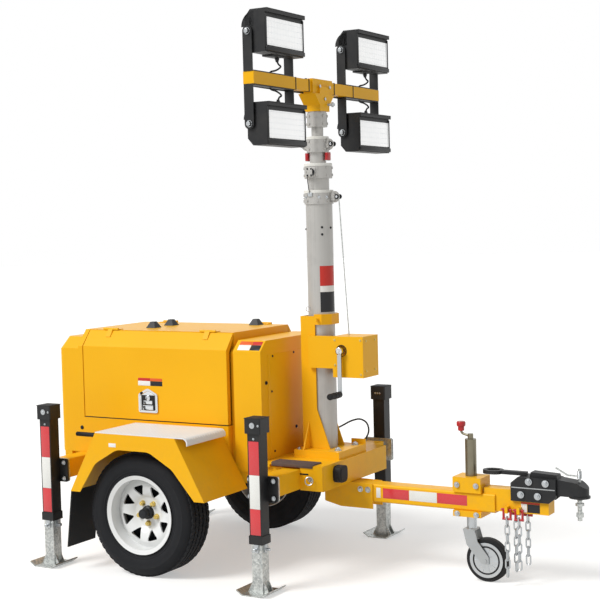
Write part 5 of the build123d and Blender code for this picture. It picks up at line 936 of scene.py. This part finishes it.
sample = bmesh.new()
bolt(sample, (0, 0, 0), (0, 0, 1), 10)
print("a bolt has", len(sample.faces), "faces")
sample.free()

# %% [markdown]
# ## Reflective tape and blank labels
# Red and white tape marks the jacks and the drawbar. It is a plastic film over tiny glass cells,
# so it is smooth, a little glossy, and shows a fine honeycomb. The real cells are about 1 mm and
# are drawn at 4 mm. Where the real tower carries printed labels, this one has plain blocks of
# colour of the same size, in duller vinyl without cells. The three numbers of a look are its clear
# coat, its specular level and how much of the colour is left at a cell's wall.

# %% Tape and label films
CELL = 4
TAPE_LOOK = (0.4, 0.5, 0.8)
LABEL_LOOK = (0.05, 0.25, 1.0)
FILMS = (
    ("tape_red", "#D3222B", TAPE_LOOK),
    ("tape_white", "#E8E8E3", TAPE_LOOK),
    ("label_red", "#C9342B", LABEL_LOOK),
    ("label_white", "#ECEBE7", LABEL_LOOK),
    ("label_black", "#242427", LABEL_LOOK),
    ("label_orange", "#E2632A", LABEL_LOOK),
)
films = {}
for name, base, (coat, specular, at_wall) in FILMS:
    made, tree, shader, place = start("vinyl_" + name, base, 0.3, Coat_Weight=coat,
                                      Specular_IOR_Level=specular)
    comb = add(tree, "TexVoronoi", {"Vector": place, "Scale": per_metre(CELL)}, feature="DISTANCE_TO_EDGE")
    wall = add(tree, "MapRange", {"Value": comb[0], "From Max": 0.12, "To Min": at_wall, "To Max": 1.0})
    grey = add(tree, "Mix", {0: wall[0], 6: colour("#8A8A88"), 7: colour(base)}, data_type="RGBA")
    tree.links.new(grey[2], shader["Base Color"])
    films[name] = made
print(len(films), "films")


def put_film(form, spans, y, film, thickness=0.8, gap=0.0):
    """Thin block on an upright face, from its ends along X and along Z."""
    x0, x1, z0, z1 = spans
    size = (x1 - x0 - gap, thickness, z1 - z0 - gap)
    put_box(form, size, ((x0 + x1) / 2, y, (z0 + z1) / 2), thickness / 4, film)


# %% [markdown]
# ## Jacks
# A screw jack is a black square tube with a drop leg. On the real one the crank goes into a turned
# socket near the head, silver ears with spring-loaded pull pins stand round the leg, and a flange
# with four bolts joins the tube to its outrigger. All of it is bright metal that moves with the
# outrigger, so one function makes it as one form.

# %% Jack fittings
JACK_Y = 703
JACK_HEAD_Y = 714
JACK_MIDDLE_Y = 668
SOCKET_Z = 833
SOCKET = ((0, -4), (12.5, -4), (14.5, 0), (14.5, 2), (10, 3), (0, 3))
EAR_REACH = 33.7
EAR_Z = 225.5
PIN_REACH = 36
PIN_Z = 220
PULL_PIN = ((0, 0), (7.4, 0), (7.4, 17), (9, 18.5), (9, 22), (7.5, 23.2), (0, 23.2))
JACK_FLANGE = (641, 510)
SMALL_SCREW = 4.5


def jack_fittings(x, side):
    """Socket, ears, pull pins and bolts of the jack at x, on one side."""
    form = bmesh.new()
    outward = (0, side, 0)
    put(form, turned_part(SOCKET, 32), aim((x, side * JACK_HEAD_Y, SOCKET_Z), outward))
    put(form, rod_part(5, 7, 1, 6), aim((x, side * (JACK_HEAD_Y - 1), SOCKET_Z), outward))
    bolt(form, (x + 34, side * JACK_HEAD_Y, SOCKET_Z), outward, SMALL_SCREW)
    bolt(form, (x, side * JACK_Y, 766), outward, SMALL_SCREW)
    put_box(form, (25, 5.8, 40.5), (x, side * (JACK_MIDDLE_Y + EAR_REACH), EAR_Z), 0.8)
    put_box(form, (5.8, 25, 40.5), (x + EAR_REACH, side * JACK_MIDDLE_Y, EAR_Z), 0.8)
    put(form, turned_part(PULL_PIN, 24), aim((x, side * (JACK_MIDDLE_Y + PIN_REACH), PIN_Z), outward))
    put(form, turned_part(PULL_PIN, 24), aim((x + PIN_REACH, side * JACK_MIDDLE_Y, PIN_Z), (1, 0, 0)))
    for dx in (-14, 0, 14):
        bolt(form, (x + dx, side * (JACK_MIDDLE_Y - 46), 828), (0, -side, 0), SMALL_SCREW)
    for dx in (-67.5, 67.5):
        for dz in (-42.5, 42.5):
            bolt(form, (x + dx, side * JACK_FLANGE[0], JACK_FLANGE[1] + dz), outward, 10)
    return form


sample = jack_fittings(0, 1)
print("the fittings of a jack have", len(sample.faces), "faces")
sample.free()

# %% [markdown]
# Three bands of tape cover the outer face of the tube, and a black plastic cap closes its head. The
# tape has a small gap where one band ends and the next begins, as hand-laid tape has.

# %% Jack tapes, fittings and caps
TAPE_BANDS = ((588, 754, 0), (421, 588, 1), (292, 421, 0))
TAPE_GAP = 0.6
for corner, x in CORNERS:
    for side_name, side in SIDES:
        name = corner + "_" + side_name
        body = "outrigger_" + name
        form = bmesh.new()
        for low, high, film in TAPE_BANDS:
            middle = (x, side * (JACK_Y + 0.4), (low + high) / 2)
            put_box(form, (58, 0.8, high - low - TAPE_GAP), middle, 0.2, film)
        make_piece("jack_tape_" + name, form, [films["tape_red"], films["tape_white"]], body)
        make_piece("jack_fittings_" + name, jack_fittings(x, side), finishes["stainless_sheet"], body)
        form = bmesh.new()
        put_box(form, (93, 93, 3), (x, side * JACK_MIDDLE_Y, 867.2), 1)
        make_piece("jack_cap_" + name, form, finishes["black_rubber"], body)

# %% [markdown]
# ## Door latch
# Each gull-wing door is held by a flush paddle latch pressed from stainless sheet: a five-sided
# tray with a rolled rim, a dished middle, a folded handle and a lock with its key slot. The dish
# is made by insetting the plate's face three times, which raises the rim and then pushes it in.

# %% Latch tray
LATCH_X = -172.5
LATCH_Z = 864
LATCH = ((-237, 803), (-108, 803), (-108, 906), (LATCH_X, 938), (-237, 906))
LATCH_SCALE = 0.985
DOOR_Y = 355


def latch_tray():
    """Five-sided tray about the origin, with its face up along Z."""
    plate = bmesh.new()
    outline = [((x - LATCH_X) * LATCH_SCALE, (z - LATCH_Z) * LATCH_SCALE) for x, z in LATCH]
    plate.faces.new([plate.verts.new((x, z, 0)) for x, z in outline])
    bmesh.ops.bevel(plate, geom=plate.verts[:], offset=11, segments=4, affect="VERTICES", profile=0.5,
                    material=-1)
    raised = raise_faces(plate, 4)
    face = next(f for f in raised if isinstance(f, bmesh.types.BMFace))
    for width, depth in ((4, -0.6), (7, 0.3), (3, -2.4)):
        bmesh.ops.inset_region(plate, faces=[face], thickness=width, depth=depth)
    bmesh.ops.recalc_face_normals(plate, faces=plate.faces)
    return plate


sample = latch_tray()
print("a latch tray has", len(sample.faces), "faces")
sample.free()

# %% [markdown]
# The tray lies flat while it is made, so a matrix stands it up on the door. On the left side that
# matrix mirrors it, which would turn its faces inside out, so they are turned over first.

# %% Door latches
LOCK_Z = 884
LATCH_SCREWS = ((-225, 815), (-120, 815), (-225, 898), (-120, 898))
for side_name, side in SIDES:
    outward = (0, side, 0)
    tray = latch_tray()
    if side > 0:
        bmesh.ops.reverse_faces(tray, faces=tray.faces)
    form = bmesh.new()
    upright = Matrix(((1, 0, 0, LATCH_X), (0, 0, side, side * DOOR_Y), (0, 1, 0, LATCH_Z), (0, 0, 0, 1)))
    put(form, tray, upright)
    # The black block in the dish is painted shade: it stands for the dark that the recessed stainless dish
    # shows.
    put_box(form, (92, 3, 82), (LATCH_X, side * (DOOR_Y + 1.2), 858), 1.2, 1)
    put_box(form, (70, 6, 26), (LATCH_X, side * (DOOR_Y + 3.5), 832), 2)
    put_box(form, (58, 4, 20), (LATCH_X, side * (DOOR_Y + 3.5), 860), 1.8)
    put(form, rod_part(8, 9, 1.5, 6), aim((-215, side * DOOR_Y, 909), outward), 1)
    put(form, rod_part(15, 6, 1.5, 32), aim((LATCH_X, side * (DOOR_Y + 1), LOCK_Z), outward))
    put(form, rod_part(10, 7.5, 1, 24), aim((LATCH_X, side * (DOOR_Y + 1), LOCK_Z), outward))
    # The black sliver on the lock is painted shade that stands for its key slot.
    put_box(form, (11, 1, 2), (LATCH_X, side * (DOOR_Y + 8.6), LOCK_Z), 0.3, 1)
    for x, z in LATCH_SCREWS:
        put(form, rod_part(3.4, 5, 1, 12), aim((x, side * (DOOR_Y + 1.5), z), outward))
    make_piece("door_latch_" + side_name, form, [finishes["chrome_plate"], finishes["black_rubber"]],
               "door_" + side_name)

# %% [markdown]
# ## Seals, plugs and labels of the canopy
# A black rubber section seals each door along its lower edge, and shows as a dark line. Rubber
# plugs close the threaded points in the side sheets. A label lies on each door, one on the sloping
# edge of the roof and one on the near fender. All of them are blank.

# %% Seals, plugs and labels
PLUGS = ((-642, 697), (296, 709))
PLUG_DOME = ((0, 0), (11, 0), (11, 2), (8.8, 4), (4.4, 5), (0, 5.2))
DOOR_LABEL = (
    (-240, -158, 976, 992), (-240, -158, 950, 975.5), (-157.5, -78, 976, 992), (-157.5, -78, 950, 975.5),
)
label_films = [films["label_red"], films["label_white"], films["label_orange"], films["label_black"]]
for side_name, side in SIDES:
    form = bmesh.new()
    put_box(form, (952, 5, 5.4), (-140, side * 348.5, 760.2), 1.4)
    for x, z in PLUGS:
        put(form, turned_part(PLUG_DOME, 24), aim((x, side * 352, z), (0, side, 0)))
    make_piece("canopy_seals_" + side_name, form, finishes["black_rubber"], "chassis")
    form = bmesh.new()
    for film, spans in enumerate(DOOR_LABEL):
        put_film(form, spans, side * 352.4, film, 0.6, 0.5)
    make_piece("door_label_" + side_name, form, label_films, "door_" + side_name)

ROOF_SLOPE = math.atan2(53, 55)
ROOF_LABEL = ((396, 470, 6, 30, 2), (396, 470, -30, 5, 1), (472, 532, 6, 30, 0), (472, 532, -30, 5, 3))
form = bmesh.new()
lean = Matrix.Translation((0, -312.5, 1178.5)) @ Matrix.Rotation(ROOF_SLOPE, 4, "X")
for x0, x1, y0, y1, film in ROOF_LABEL:
    place = lean @ Matrix.Translation(((x0 + x1) / 2, (y0 + y1) / 2, 0.4))
    put(form, box_part(x1 - x0, y1 - y0, 0.7, 0.15), place, film)
put_box(form, (46, 0.7, 20), (-115, -750.4, 691), 0.15, 1)
make_piece("cabinet_label", form, label_films, "chassis")

# %% [markdown]
# ## Tail lamps
# The photograph doesn't show the rear, but a towed trailer has tail lamps, so a plain pair is set
# on the rear beam: a red lens over a black base. It stays inside the outline of the canopy.

# %% Tail lamps
TAIL_X = -776
for side_name, side in SIDES:
    form = bmesh.new()
    put_box(form, (12, 120, 60), (TAIL_X, side * 236, 510), 3)
    put_box(form, (10, 108, 48), (TAIL_X - 7, side * 236, 510), 3, 1)
    make_piece("tail_lamp_" + side_name, form, [finishes["black_rubber"], finishes["red_enamel"]], "chassis")

# %% [markdown]
# ## Cabinet front
# The control cabinet has a lift-off front: a sheet with a folded edge, held by small black screws,
# with one seam down its near side. The seam is a narrow raised joint strip in the same yellow. One
# screw sits beside the sheet, on the cabinet itself.

# %% Cabinet front
CABINET_X = 542
CABINET_Z = 850
SHEET_WIDTH = 540
SHEET_REST = 1.6
CABINET_SCREWS = (
    (-224, 1120, 5), (-9, 1120, 5), (-291, 986, 8), (-240, 936, 5), (1, 719, 7), (-224, 620, 5),
    (240, 1120, 5), (240, 936, 5), (240, 620, 5),
)
form = bmesh.new()
put_box(form, (2.4, SHEET_WIDTH, 560), (CABINET_X + 0.7, 0, CABINET_Z), 1.1)
put_box(form, (2.4, 6, 560), (CABINET_X + 1.4, -256, CABINET_Z), 1)
make_piece("cabinet_front", form, yellow, "chassis")
form = bmesh.new()
for y, z, size in CABINET_SCREWS:
    rest = SHEET_REST if abs(y) < SHEET_WIDTH / 2 else 0
    bolt(form, (CABINET_X + rest, y, z), (1, 0, 0), size)
make_piece("cabinet_screws", form, finishes["cast_iron_paint"], "chassis")

# %% [markdown]
# ## Mast collars
# Each mast tube ends in a cast collar that carries the rope pulleys, and a white nylon wear ring
# lies on it to guide the next tube. Red bump stops keep the third collar off the second one. The
# rings are turned as closed bands with a short skirt over the collar's edge.

# %% Wear rings and stops
COLLARS = (
    (1978, 72, 56.8, "chassis"),
    (2118, 68, 43.8, "mast_section_2"),
    (2258, 53, 31.8, "mast_section_3"),
)
for number, (top_z, outer, inner, body) in enumerate(COLLARS, 1):
    band = ((inner, -6.5), (outer + 5.1, -6.5), (outer + 5.1, -14), (outer + 6, -14), (outer + 6, -1.5),
            (outer + 4, 0.6), (inner, 0.6), (inner, -6.5))
    form = bmesh.new()
    put(form, turned_part(band, 64), Matrix.Translation((MAST_X, 0, top_z)))
    make_piece("wear_ring_" + str(number), form, finishes["nylon_white"], body)
form = bmesh.new()
for end in (-1, 1):
    put_box(form, (17, 37, 41), (MAST_X + end * 59.5, 0, 2154), 3)
make_piece("mast_stops", form, finishes["red_enamel"], "mast_section_3")

# %% [markdown]
# On the near face of the second collar a separate block carries one more rope pulley, and a thin
# lead runs from it down to the first collar. The pulley's groove comes from its turned profile.

# %% Pulley block and small lead
BLOCK_AT = (MAST_X - 1, -82, 2072)
GROOVED_WHEEL = ((0, -7), (21, -7), (16.5, -1.5), (16.5, 1.5), (21, 7), (0, 7))
SMALL_LEAD = ((695, -79, 2060), (697, -80, 2030), (703, -82, 2000), (709, -84, 1972), (711, -84, 1962))
form = bmesh.new()
place = Matrix.Translation(BLOCK_AT)
put(form, box_part(52, 5, 50, 2), place @ Matrix.Translation((0, 9, 0)), 1)
put(form, box_part(34, 4, 46, 1.5), place @ Matrix.Translation((0, -10, 0)), 1)
put(form, turned_part(GROOVED_WHEEL, 32), aim(BLOCK_AT, (0, -1, 0)))
for dx in (-11, 11):
    for dz in (-17, 17):
        bolt(form, (BLOCK_AT[0] + dx, BLOCK_AT[1] - 12, BLOCK_AT[2] + dz), (0, -1, 0), 4)
make_piece("mast_pulley_block", form, [finishes["cast_iron_paint"], aluminium], "mast_section_2")
form = bmesh.new()
put(form, lead_part(SMALL_LEAD, 2))
lead = make_piece("mast_small_lead", form, finishes["cable_sheath_pvc"])
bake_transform(lead)

# %% [markdown]
# The first collar has a small clip for that lead and a row of screws. The base tube below it shows
# black screws and has a small wire hoop on its near side. The collar pulleys sit between cheek
# plates, and the ends of their pins show as bright dots.

# %% Collar screws and pulley pins
COLLAR_RADIUS = 76.5
COLLAR_SCREWS = (-152, -120, -60, -28)
TUBE_RADIUS = 70
TUBE_SCREWS = ((-150, 1776), (-50, 1784), (-5, 1781), (-50, 1747))
HOOP = ((10.3, 0), (12, -1.7), (13.7, 0), (12, 1.7), (10.3, 0))
PULLEYS = (("chassis", 77, 13, (1,), 1942), ("mast_section_3", 58, 4, (-1, 1), 2217))


def mast_screw(form, radius, degrees, z, size, material=0):
    """Screw that points away from the mast's middle."""
    turn = math.radians(degrees)
    away = (math.cos(turn), math.sin(turn), 0)
    bolt(form, (MAST_X + radius * away[0], radius * away[1], z), away, size, material)


form = bmesh.new()
put_box(form, (26, 8, 20), (711, -80, 1956), 2)
for degrees in COLLAR_SCREWS:
    mast_screw(form, COLLAR_RADIUS, degrees, 1942, 6)
for degrees, z in TUBE_SCREWS:
    mast_screw(form, TUBE_RADIUS, degrees, z, 5, 1)
put(form, turned_part(HOOP, 28), aim((688, -88, 1358), (0.5, -1, 0)))
make_piece("collar_fittings", form, [finishes["stainless_sheet"], finishes["cast_iron_paint"]], "chassis")
pin_coats = [finishes["cast_iron_paint"], finishes["chrome_plate"]]
for number, (body, collar_radius, reach, ends, z) in enumerate(PULLEYS, 1):
    form = bmesh.new()
    for end in ends:
        x = MAST_X + end * (collar_radius + reach + 26)
        for side in (-1, 1):
            put(form, rod_part(13, 2.4, 0.6, 24), aim((x, side * 15, z), (0, side, 0)))
            put(form, rod_part(7, 5, 1, 6), aim((x, side * 16, z), (0, side, 0)), 1)
    make_piece("pulley_pins_" + str(number), form, pin_coats, body)

# %% [markdown]
# ## Labels on the mast
# A printed label wraps the base tube. It could be a texture on the tube, but a film of its own has
# a real edge. It is bent round the tube by turning a short upright line part of the way, then
# given its thickness, and it is blank.

# %% Mast labels
MAST_LABELS = ((1478, 1582, 0), (1446, 1477, 1), (1340, 1445, 2))
LABEL_RADIUS = 70.8
LABEL_START = math.radians(-64)
LABEL_SPAN = math.radians(78)
form = bmesh.new()
for low, high, film in MAST_LABELS:
    part = bmesh.new()
    x, y = LABEL_RADIUS * math.cos(LABEL_START), LABEL_RADIUS * math.sin(LABEL_START)
    ends = [part.verts.new((x, y, z)) for z in (low, high)]
    line = part.edges.new(ends)
    bmesh.ops.spin(part, geom=[*ends, line], axis=(0, 0, 1), cent=(0, 0, 0), angle=LABEL_SPAN, steps=12)
    bmesh.ops.solidify(part, geom=part.faces[:], thickness=0.5)
    bmesh.ops.recalc_face_normals(part, faces=part.faces)
    put(form, part, Matrix.Translation((MAST_X, 0, 0)), film)
make_piece("mast_labels", form, [films["label_red"], films["label_white"], films["label_black"]], "chassis")

# %% [markdown]
# ## Winch
# The crank of the hand winch gets its chrome hub and a black grip with raised rings. Both are round,
# so they are turned, and they ride on the crank.

# %% Winch crank grip and hub
CRANK_X = 889
CRANK_Z = 1145
GRIP_Z = 921
GRIP = (
    (0, -2), (15.5, -2), (16.5, 4), (16, 26), (17.5, 30), (16, 34), (16, 54), (17.5, 58), (16, 62),
    (16.5, 96), (17, 106), (14, 112.4), (0, 112.8),
)
HUB_CAP = ((0, 0), (20, 0), (20, 8), (18.5, 22), (12, 25), (0, 25.4))
form = bmesh.new()
put(form, turned_part(GRIP, 32), aim((CRANK_X, -132, GRIP_Z), (0, -1, 0)))
make_piece("crank_grip", form, finishes["black_rubber"], "winch_crank")
form = bmesh.new()
put(form, turned_part(HUB_CAP, 32), aim((CRANK_X, -114, CRANK_Z), (0, -1, 0)))
put(form, rod_part(8, 8, 1, 6), aim((CRANK_X, -138, CRANK_Z), (0, -1, 0)))
put(form, rod_part(13, 5, 1.5, 24), aim((CRANK_X, -130, GRIP_Z), (0, 1, 0)))
make_piece("crank_hub", form, finishes["chrome_plate"], "winch_crank")

# %% [markdown]
# A black rubber ring lines the hole in the winch box where the crank's axle comes out, and screws
# with yellow zinc plate hold the box. They stay still when the crank turns.

# %% Winch box ring and screws
WINCH_SIDE_Y = -104
WINCH_FRONT_X = 1014
HOLE_RING = ((27.8, -3), (31, -3), (31, 1.2), (27.8, 1.2), (27.8, -3))
SIDE_SCREWS = ((850, 1200), (1000, 1200), (1000, 1024), (850, 1070))
form = bmesh.new()
put(form, turned_part(HOLE_RING, 40), aim((CRANK_X, WINCH_SIDE_Y, CRANK_Z), (0, -1, 0)))
make_piece("winch_hole_ring", form, finishes["black_rubber"], "chassis")
form = bmesh.new()
for x, z in SIDE_SCREWS:
    bolt(form, (x, WINCH_SIDE_Y, z), (0, -1, 0), 5)
for y in (-70, 30):
    for z in (1040, 1195):
        bolt(form, (WINCH_FRONT_X, y, z), (1, 0, 0), 5)
make_piece("winch_screws", form, finishes["zinc_yellow_plate"], "chassis")

# %% [markdown]
# ## Front deck
# A brown ribbed rubber mat lies over the near edge of the deck. It is moulded, so its ribs are
# plain bars sunk into the sheet. A black plastic cap closes the tool socket in front. Its outline
# is a square with round sides, which a power of the cosine and the sine draws in one line.

# %% Deck mat and socket cap
DECK_TOP = 583
MAT_X = 725
RIB_PITCH = 6
form = bmesh.new()
put_box(form, (250, 84, 7), (MAT_X, -310, DECK_TOP + 2.5), 2.5)
for rib in range(13):
    put_box(form, (248, 3, 2.4), (MAT_X, -347 + rib * RIB_PITCH, DECK_TOP + 6.6), 0.8)
put_box(form, (250, 7, 20), (MAT_X, -352.5, DECK_TOP - 4), 2.5)
make_piece("deck_mat", form, finishes["brown_rubber_mat"], "chassis")
CAP_STEPS = 32
CAP_ROUNDNESS = 0.55


def square_round(value):
    """Cosine or sine drawn out towards a square."""
    return math.copysign(abs(value) ** CAP_ROUNDNESS, value)


form = bmesh.new()
turns = [step * math.tau / CAP_STEPS for step in range(CAP_STEPS)]
for half, start_x, depth in ((43, 903, 40.5), (32, 943, 3)):
    outline = [(half * square_round(math.cos(a)), half * square_round(math.sin(a))) for a in turns]
    put(form, plate_part(outline, depth, 0.8), aim((start_x, -208, 525), (1, 0, 0)))
make_piece("socket_cap", form, finishes["black_rubber"], "chassis")

# %% [markdown]
# Each outrigger has a pull pin with a bright ring beside its slot, and a thin black block on the plate is
# painted shade that stands for the dark of the open slot.
# The mast platform is bolted down. The ring is a loop of round wire, like the chain and the small
# spring further on, so one helper turns such loops from the circle of the wire.

# %% Pull pins, slots and deck bolts
PIN_Y = 350
PINS_X = (827, -497)
SLOTS_X = (790, -534)
PLATFORM_Z = 622
PLATFORM_BOLTS = ((850, -95, 15), (850, 95, 15), (640, -135, 10), (640, 135, 10))
PIN_COLLAR = ((5, -1), (14, -1), (14, 3), (11, 6), (5, 6), (5, -1))


def wire_loop(radius, wire, sides, steps):
    """Loop of round wire about Z, from the radius of the loop and of the wire."""
    turns = [step * math.tau / sides for step in range(sides)]
    circle = [(radius + wire * math.cos(a), wire * math.sin(a)) for a in turns]
    return turned_part([*circle, circle[0]], steps)


form = bmesh.new()
for side in (-1, 1):
    for x in PINS_X:
        pin = aim((x, side * PIN_Y, 512), (0, side, 0))
        put(form, turned_part(PIN_COLLAR, 28), pin)
        put(form, rod_part(7, 17, 2, 20), pin)
        put(form, wire_loop(20, 3, 8, 32), aim((x + 3, side * (PIN_Y + 19), 508), (0.3, side, 0.2)))
make_piece("pull_pins", form, finishes["stainless_sheet"], "chassis")
# Painted shade: a thin black block stands for the dark inside each beam slot.
form = bmesh.new()
for side in (-1, 1):
    for x in SLOTS_X:
        put_box(form, (54, 3, 8), (x, side * PIN_Y, 537), 1)
make_piece("beam_slot_painted_shade", form, finishes["black_rubber"], "chassis")
form = bmesh.new()
for x, y, size in PLATFORM_BOLTS:
    bolt(form, (x, y, PLATFORM_Z), (0, 0, 1), size)
make_piece("deck_bolts", form, finishes["stainless_sheet"], "chassis")

# %% [markdown]
# ## Drawbar, jockey clamps and coupling
# The drawbar carries the same red and white tape on both sides and a blank label on the near side
# of its nose. They are thin blocks, as on the jacks, because a film has to stand a little proud of
# the paint to be seen.

# %% Drawbar tapes and label
BAR_SIDE = 50
NOSE_SIDE = 40
TAPE_LOW, TAPE_HIGH = 382, 434
BAR_TAPES = ((1084, 1232, 0), (1234, 1388, 1), (1390, 1553, 0), (1046, 1070, 1))
NOSE_LABEL = ((1834, 1864, 374, 415), (1866, 1930, 374, 415), (1834, 1930, 416, 424))
form = bmesh.new()
for side in (-1, 1):
    for x0, x1, film in BAR_TAPES:
        put_film(form, (x0, x1, TAPE_LOW, TAPE_HIGH), side * (BAR_SIDE + 0.4), film)
make_piece("drawbar_tape", form, [films["tape_red"], films["tape_white"]], "chassis")
form = bmesh.new()
for film, spans in enumerate(NOSE_LABEL):
    put_film(form, spans, -NOSE_SIDE - 0.4, film)
make_piece("drawbar_label", form, [films["label_white"], films["label_black"], films["label_red"]], "chassis")

# %% [markdown]
# The clamps of the jockey wheel, the drawbar's bracket and the two coupling plates are held by
# bright bolts. A pressed strip lies along the coupling plates, and a small spring stands at the
# coupling's nose. The spring is drawn as a pile of wire loops, which looks the same at its size.

# %% Clamp and coupling bolts
BOLT_ROWS = (
    (66, 11, ((1505, 488), (1607, 488), (1505, 343), (1607, 343))),
    (58.3, 12, ((1001, 421), (957, 421))),
    (63, 13.5, ((1882, 530), (1967, 527), (1841, 464), (1927, 462))),
)
STRIP_AT = (1902, 58.4, 497)
SPRING_TURNS = 6
form = bmesh.new()
for side in (-1, 1):
    for y, size, places in BOLT_ROWS:
        for x, z in places:
            bolt(form, (x, side * y, z), (0, side, 0), size)
make_piece("drawbar_bolts", form, finishes["stainless_sheet"], "chassis")
form = bmesh.new()
for side in (-1, 1):
    put_box(form, (222, 1.6, 5), (STRIP_AT[0], side * STRIP_AT[1], STRIP_AT[2]), 0.6)
make_piece("coupling_strip", form, finishes["grey_enamel"], "chassis")
form = bmesh.new()
for turn in range(SPRING_TURNS):
    put(form, wire_loop(10.5, 1.9, 6, 20), Matrix.Translation((2117, 0, 556 + 6 * turn)))
make_piece("coupling_spring", form, finishes["stainless_sheet"], "chassis")

# %% [markdown]
# ## Jockey wheel
# A red knob works the screw of the jockey wheel. The wheel has a thin rubber band on a light grey
# rim with a dished hub and ribs. CAD gives a plain wheel, so a turned face with ribs and a dark
# ring is set on each side of it, a little proud.

# %% Jockey knob and wheel faces
JOCKEY_AT = (1640, 0, 110)
RIB_COUNT = 10
KNOB = (
    (0, -24), (13, -24), (15.8, -21), (15.8, -3), (21, 0), (22.5, 5), (22.5, 18), (19, 23.6), (0, 24.6),
)
RIM_FACE = (
    (0, 25.2), (88, 25.2), (88, 26.6), (80, 27.4), (74, 26.2), (33, 26.2), (29, 27.6), (19, 27.6),
    (16, 28.6), (0, 28.8),
)
DARK_BAND = ((64, 26), (72, 26), (72, 27), (64, 27), (64, 26))
form = bmesh.new()
put(form, turned_part(KNOB, 36), Matrix.Translation((1506, 0, 774)))
make_piece("jockey_knob", form, finishes["red_enamel"], "chassis")
form = bmesh.new()
for end in (-1, 1):
    hub = aim(JOCKEY_AT, (0, end, 0))
    put(form, turned_part(RIM_FACE, 48), hub)
    put(form, turned_part(DARK_BAND, 48), hub, 1)
    for rib in range(RIB_COUNT):
        spoke = Matrix.Rotation(rib * math.tau / RIB_COUNT, 4, "Z") @ Matrix.Translation((47, 0, 26.8))
        put(form, box_part(30, 3, 1.6, 0.5), hub @ spoke)
make_piece("jockey_rim", form, [finishes["stainless_sheet"], finishes["black_rubber"]], "jockey_wheel")

# %% [markdown]
# ## Safety chains
# The safety chains are short-link galvanised chain. CAD has each link in its place as a plain
# six-sided loop. A link of round wire takes the place of each one here: a loop is turned, and its
# two halves are drawn apart to give the straight sides. Every second link is turned a quarter.
# Spangle doesn't show on wire this thin, so the links get the plain bright finish.

# %% Chains of round links
STRANDS = ((1768, 7), (1830, 6))
STRAND_Y = 60
FIRST_LINK_Z = 323.3
LINK_PITCH = 41.7
LINK_STEPS = 16
HALF_STRAIGHT = 14


def chain_link():
    """One link, long along Y."""
    link = wire_loop(11, 4, 10, LINK_STEPS)
    bmesh.ops.rotate(link, matrix=Matrix.Rotation(math.pi / LINK_STEPS, 3, "Z"), verts=link.verts)
    for half in (-1, 1):
        moved = [v for v in link.verts if v.co.y * half > 0]
        bmesh.ops.translate(link, vec=(0, half * HALF_STRAIGHT, 0), verts=moved)
    return link


form = bmesh.new()
hanging = Matrix.Rotation(math.pi / 2, 4, "X")
for x, links in STRANDS:
    for side in (-1, 1):
        for number in range(links):
            centre = Matrix.Translation((x, side * STRAND_Y, FIRST_LINK_Z - LINK_PITCH * number))
            quarter = Matrix.Rotation(math.pi / 2 if number % 2 == 0 else 0, 4, "Z")
            put(form, chain_link(), centre @ quarter @ hanging)
make_piece("chain_links", form, finishes["stainless_sheet"], "chassis", ("safety_chains",))
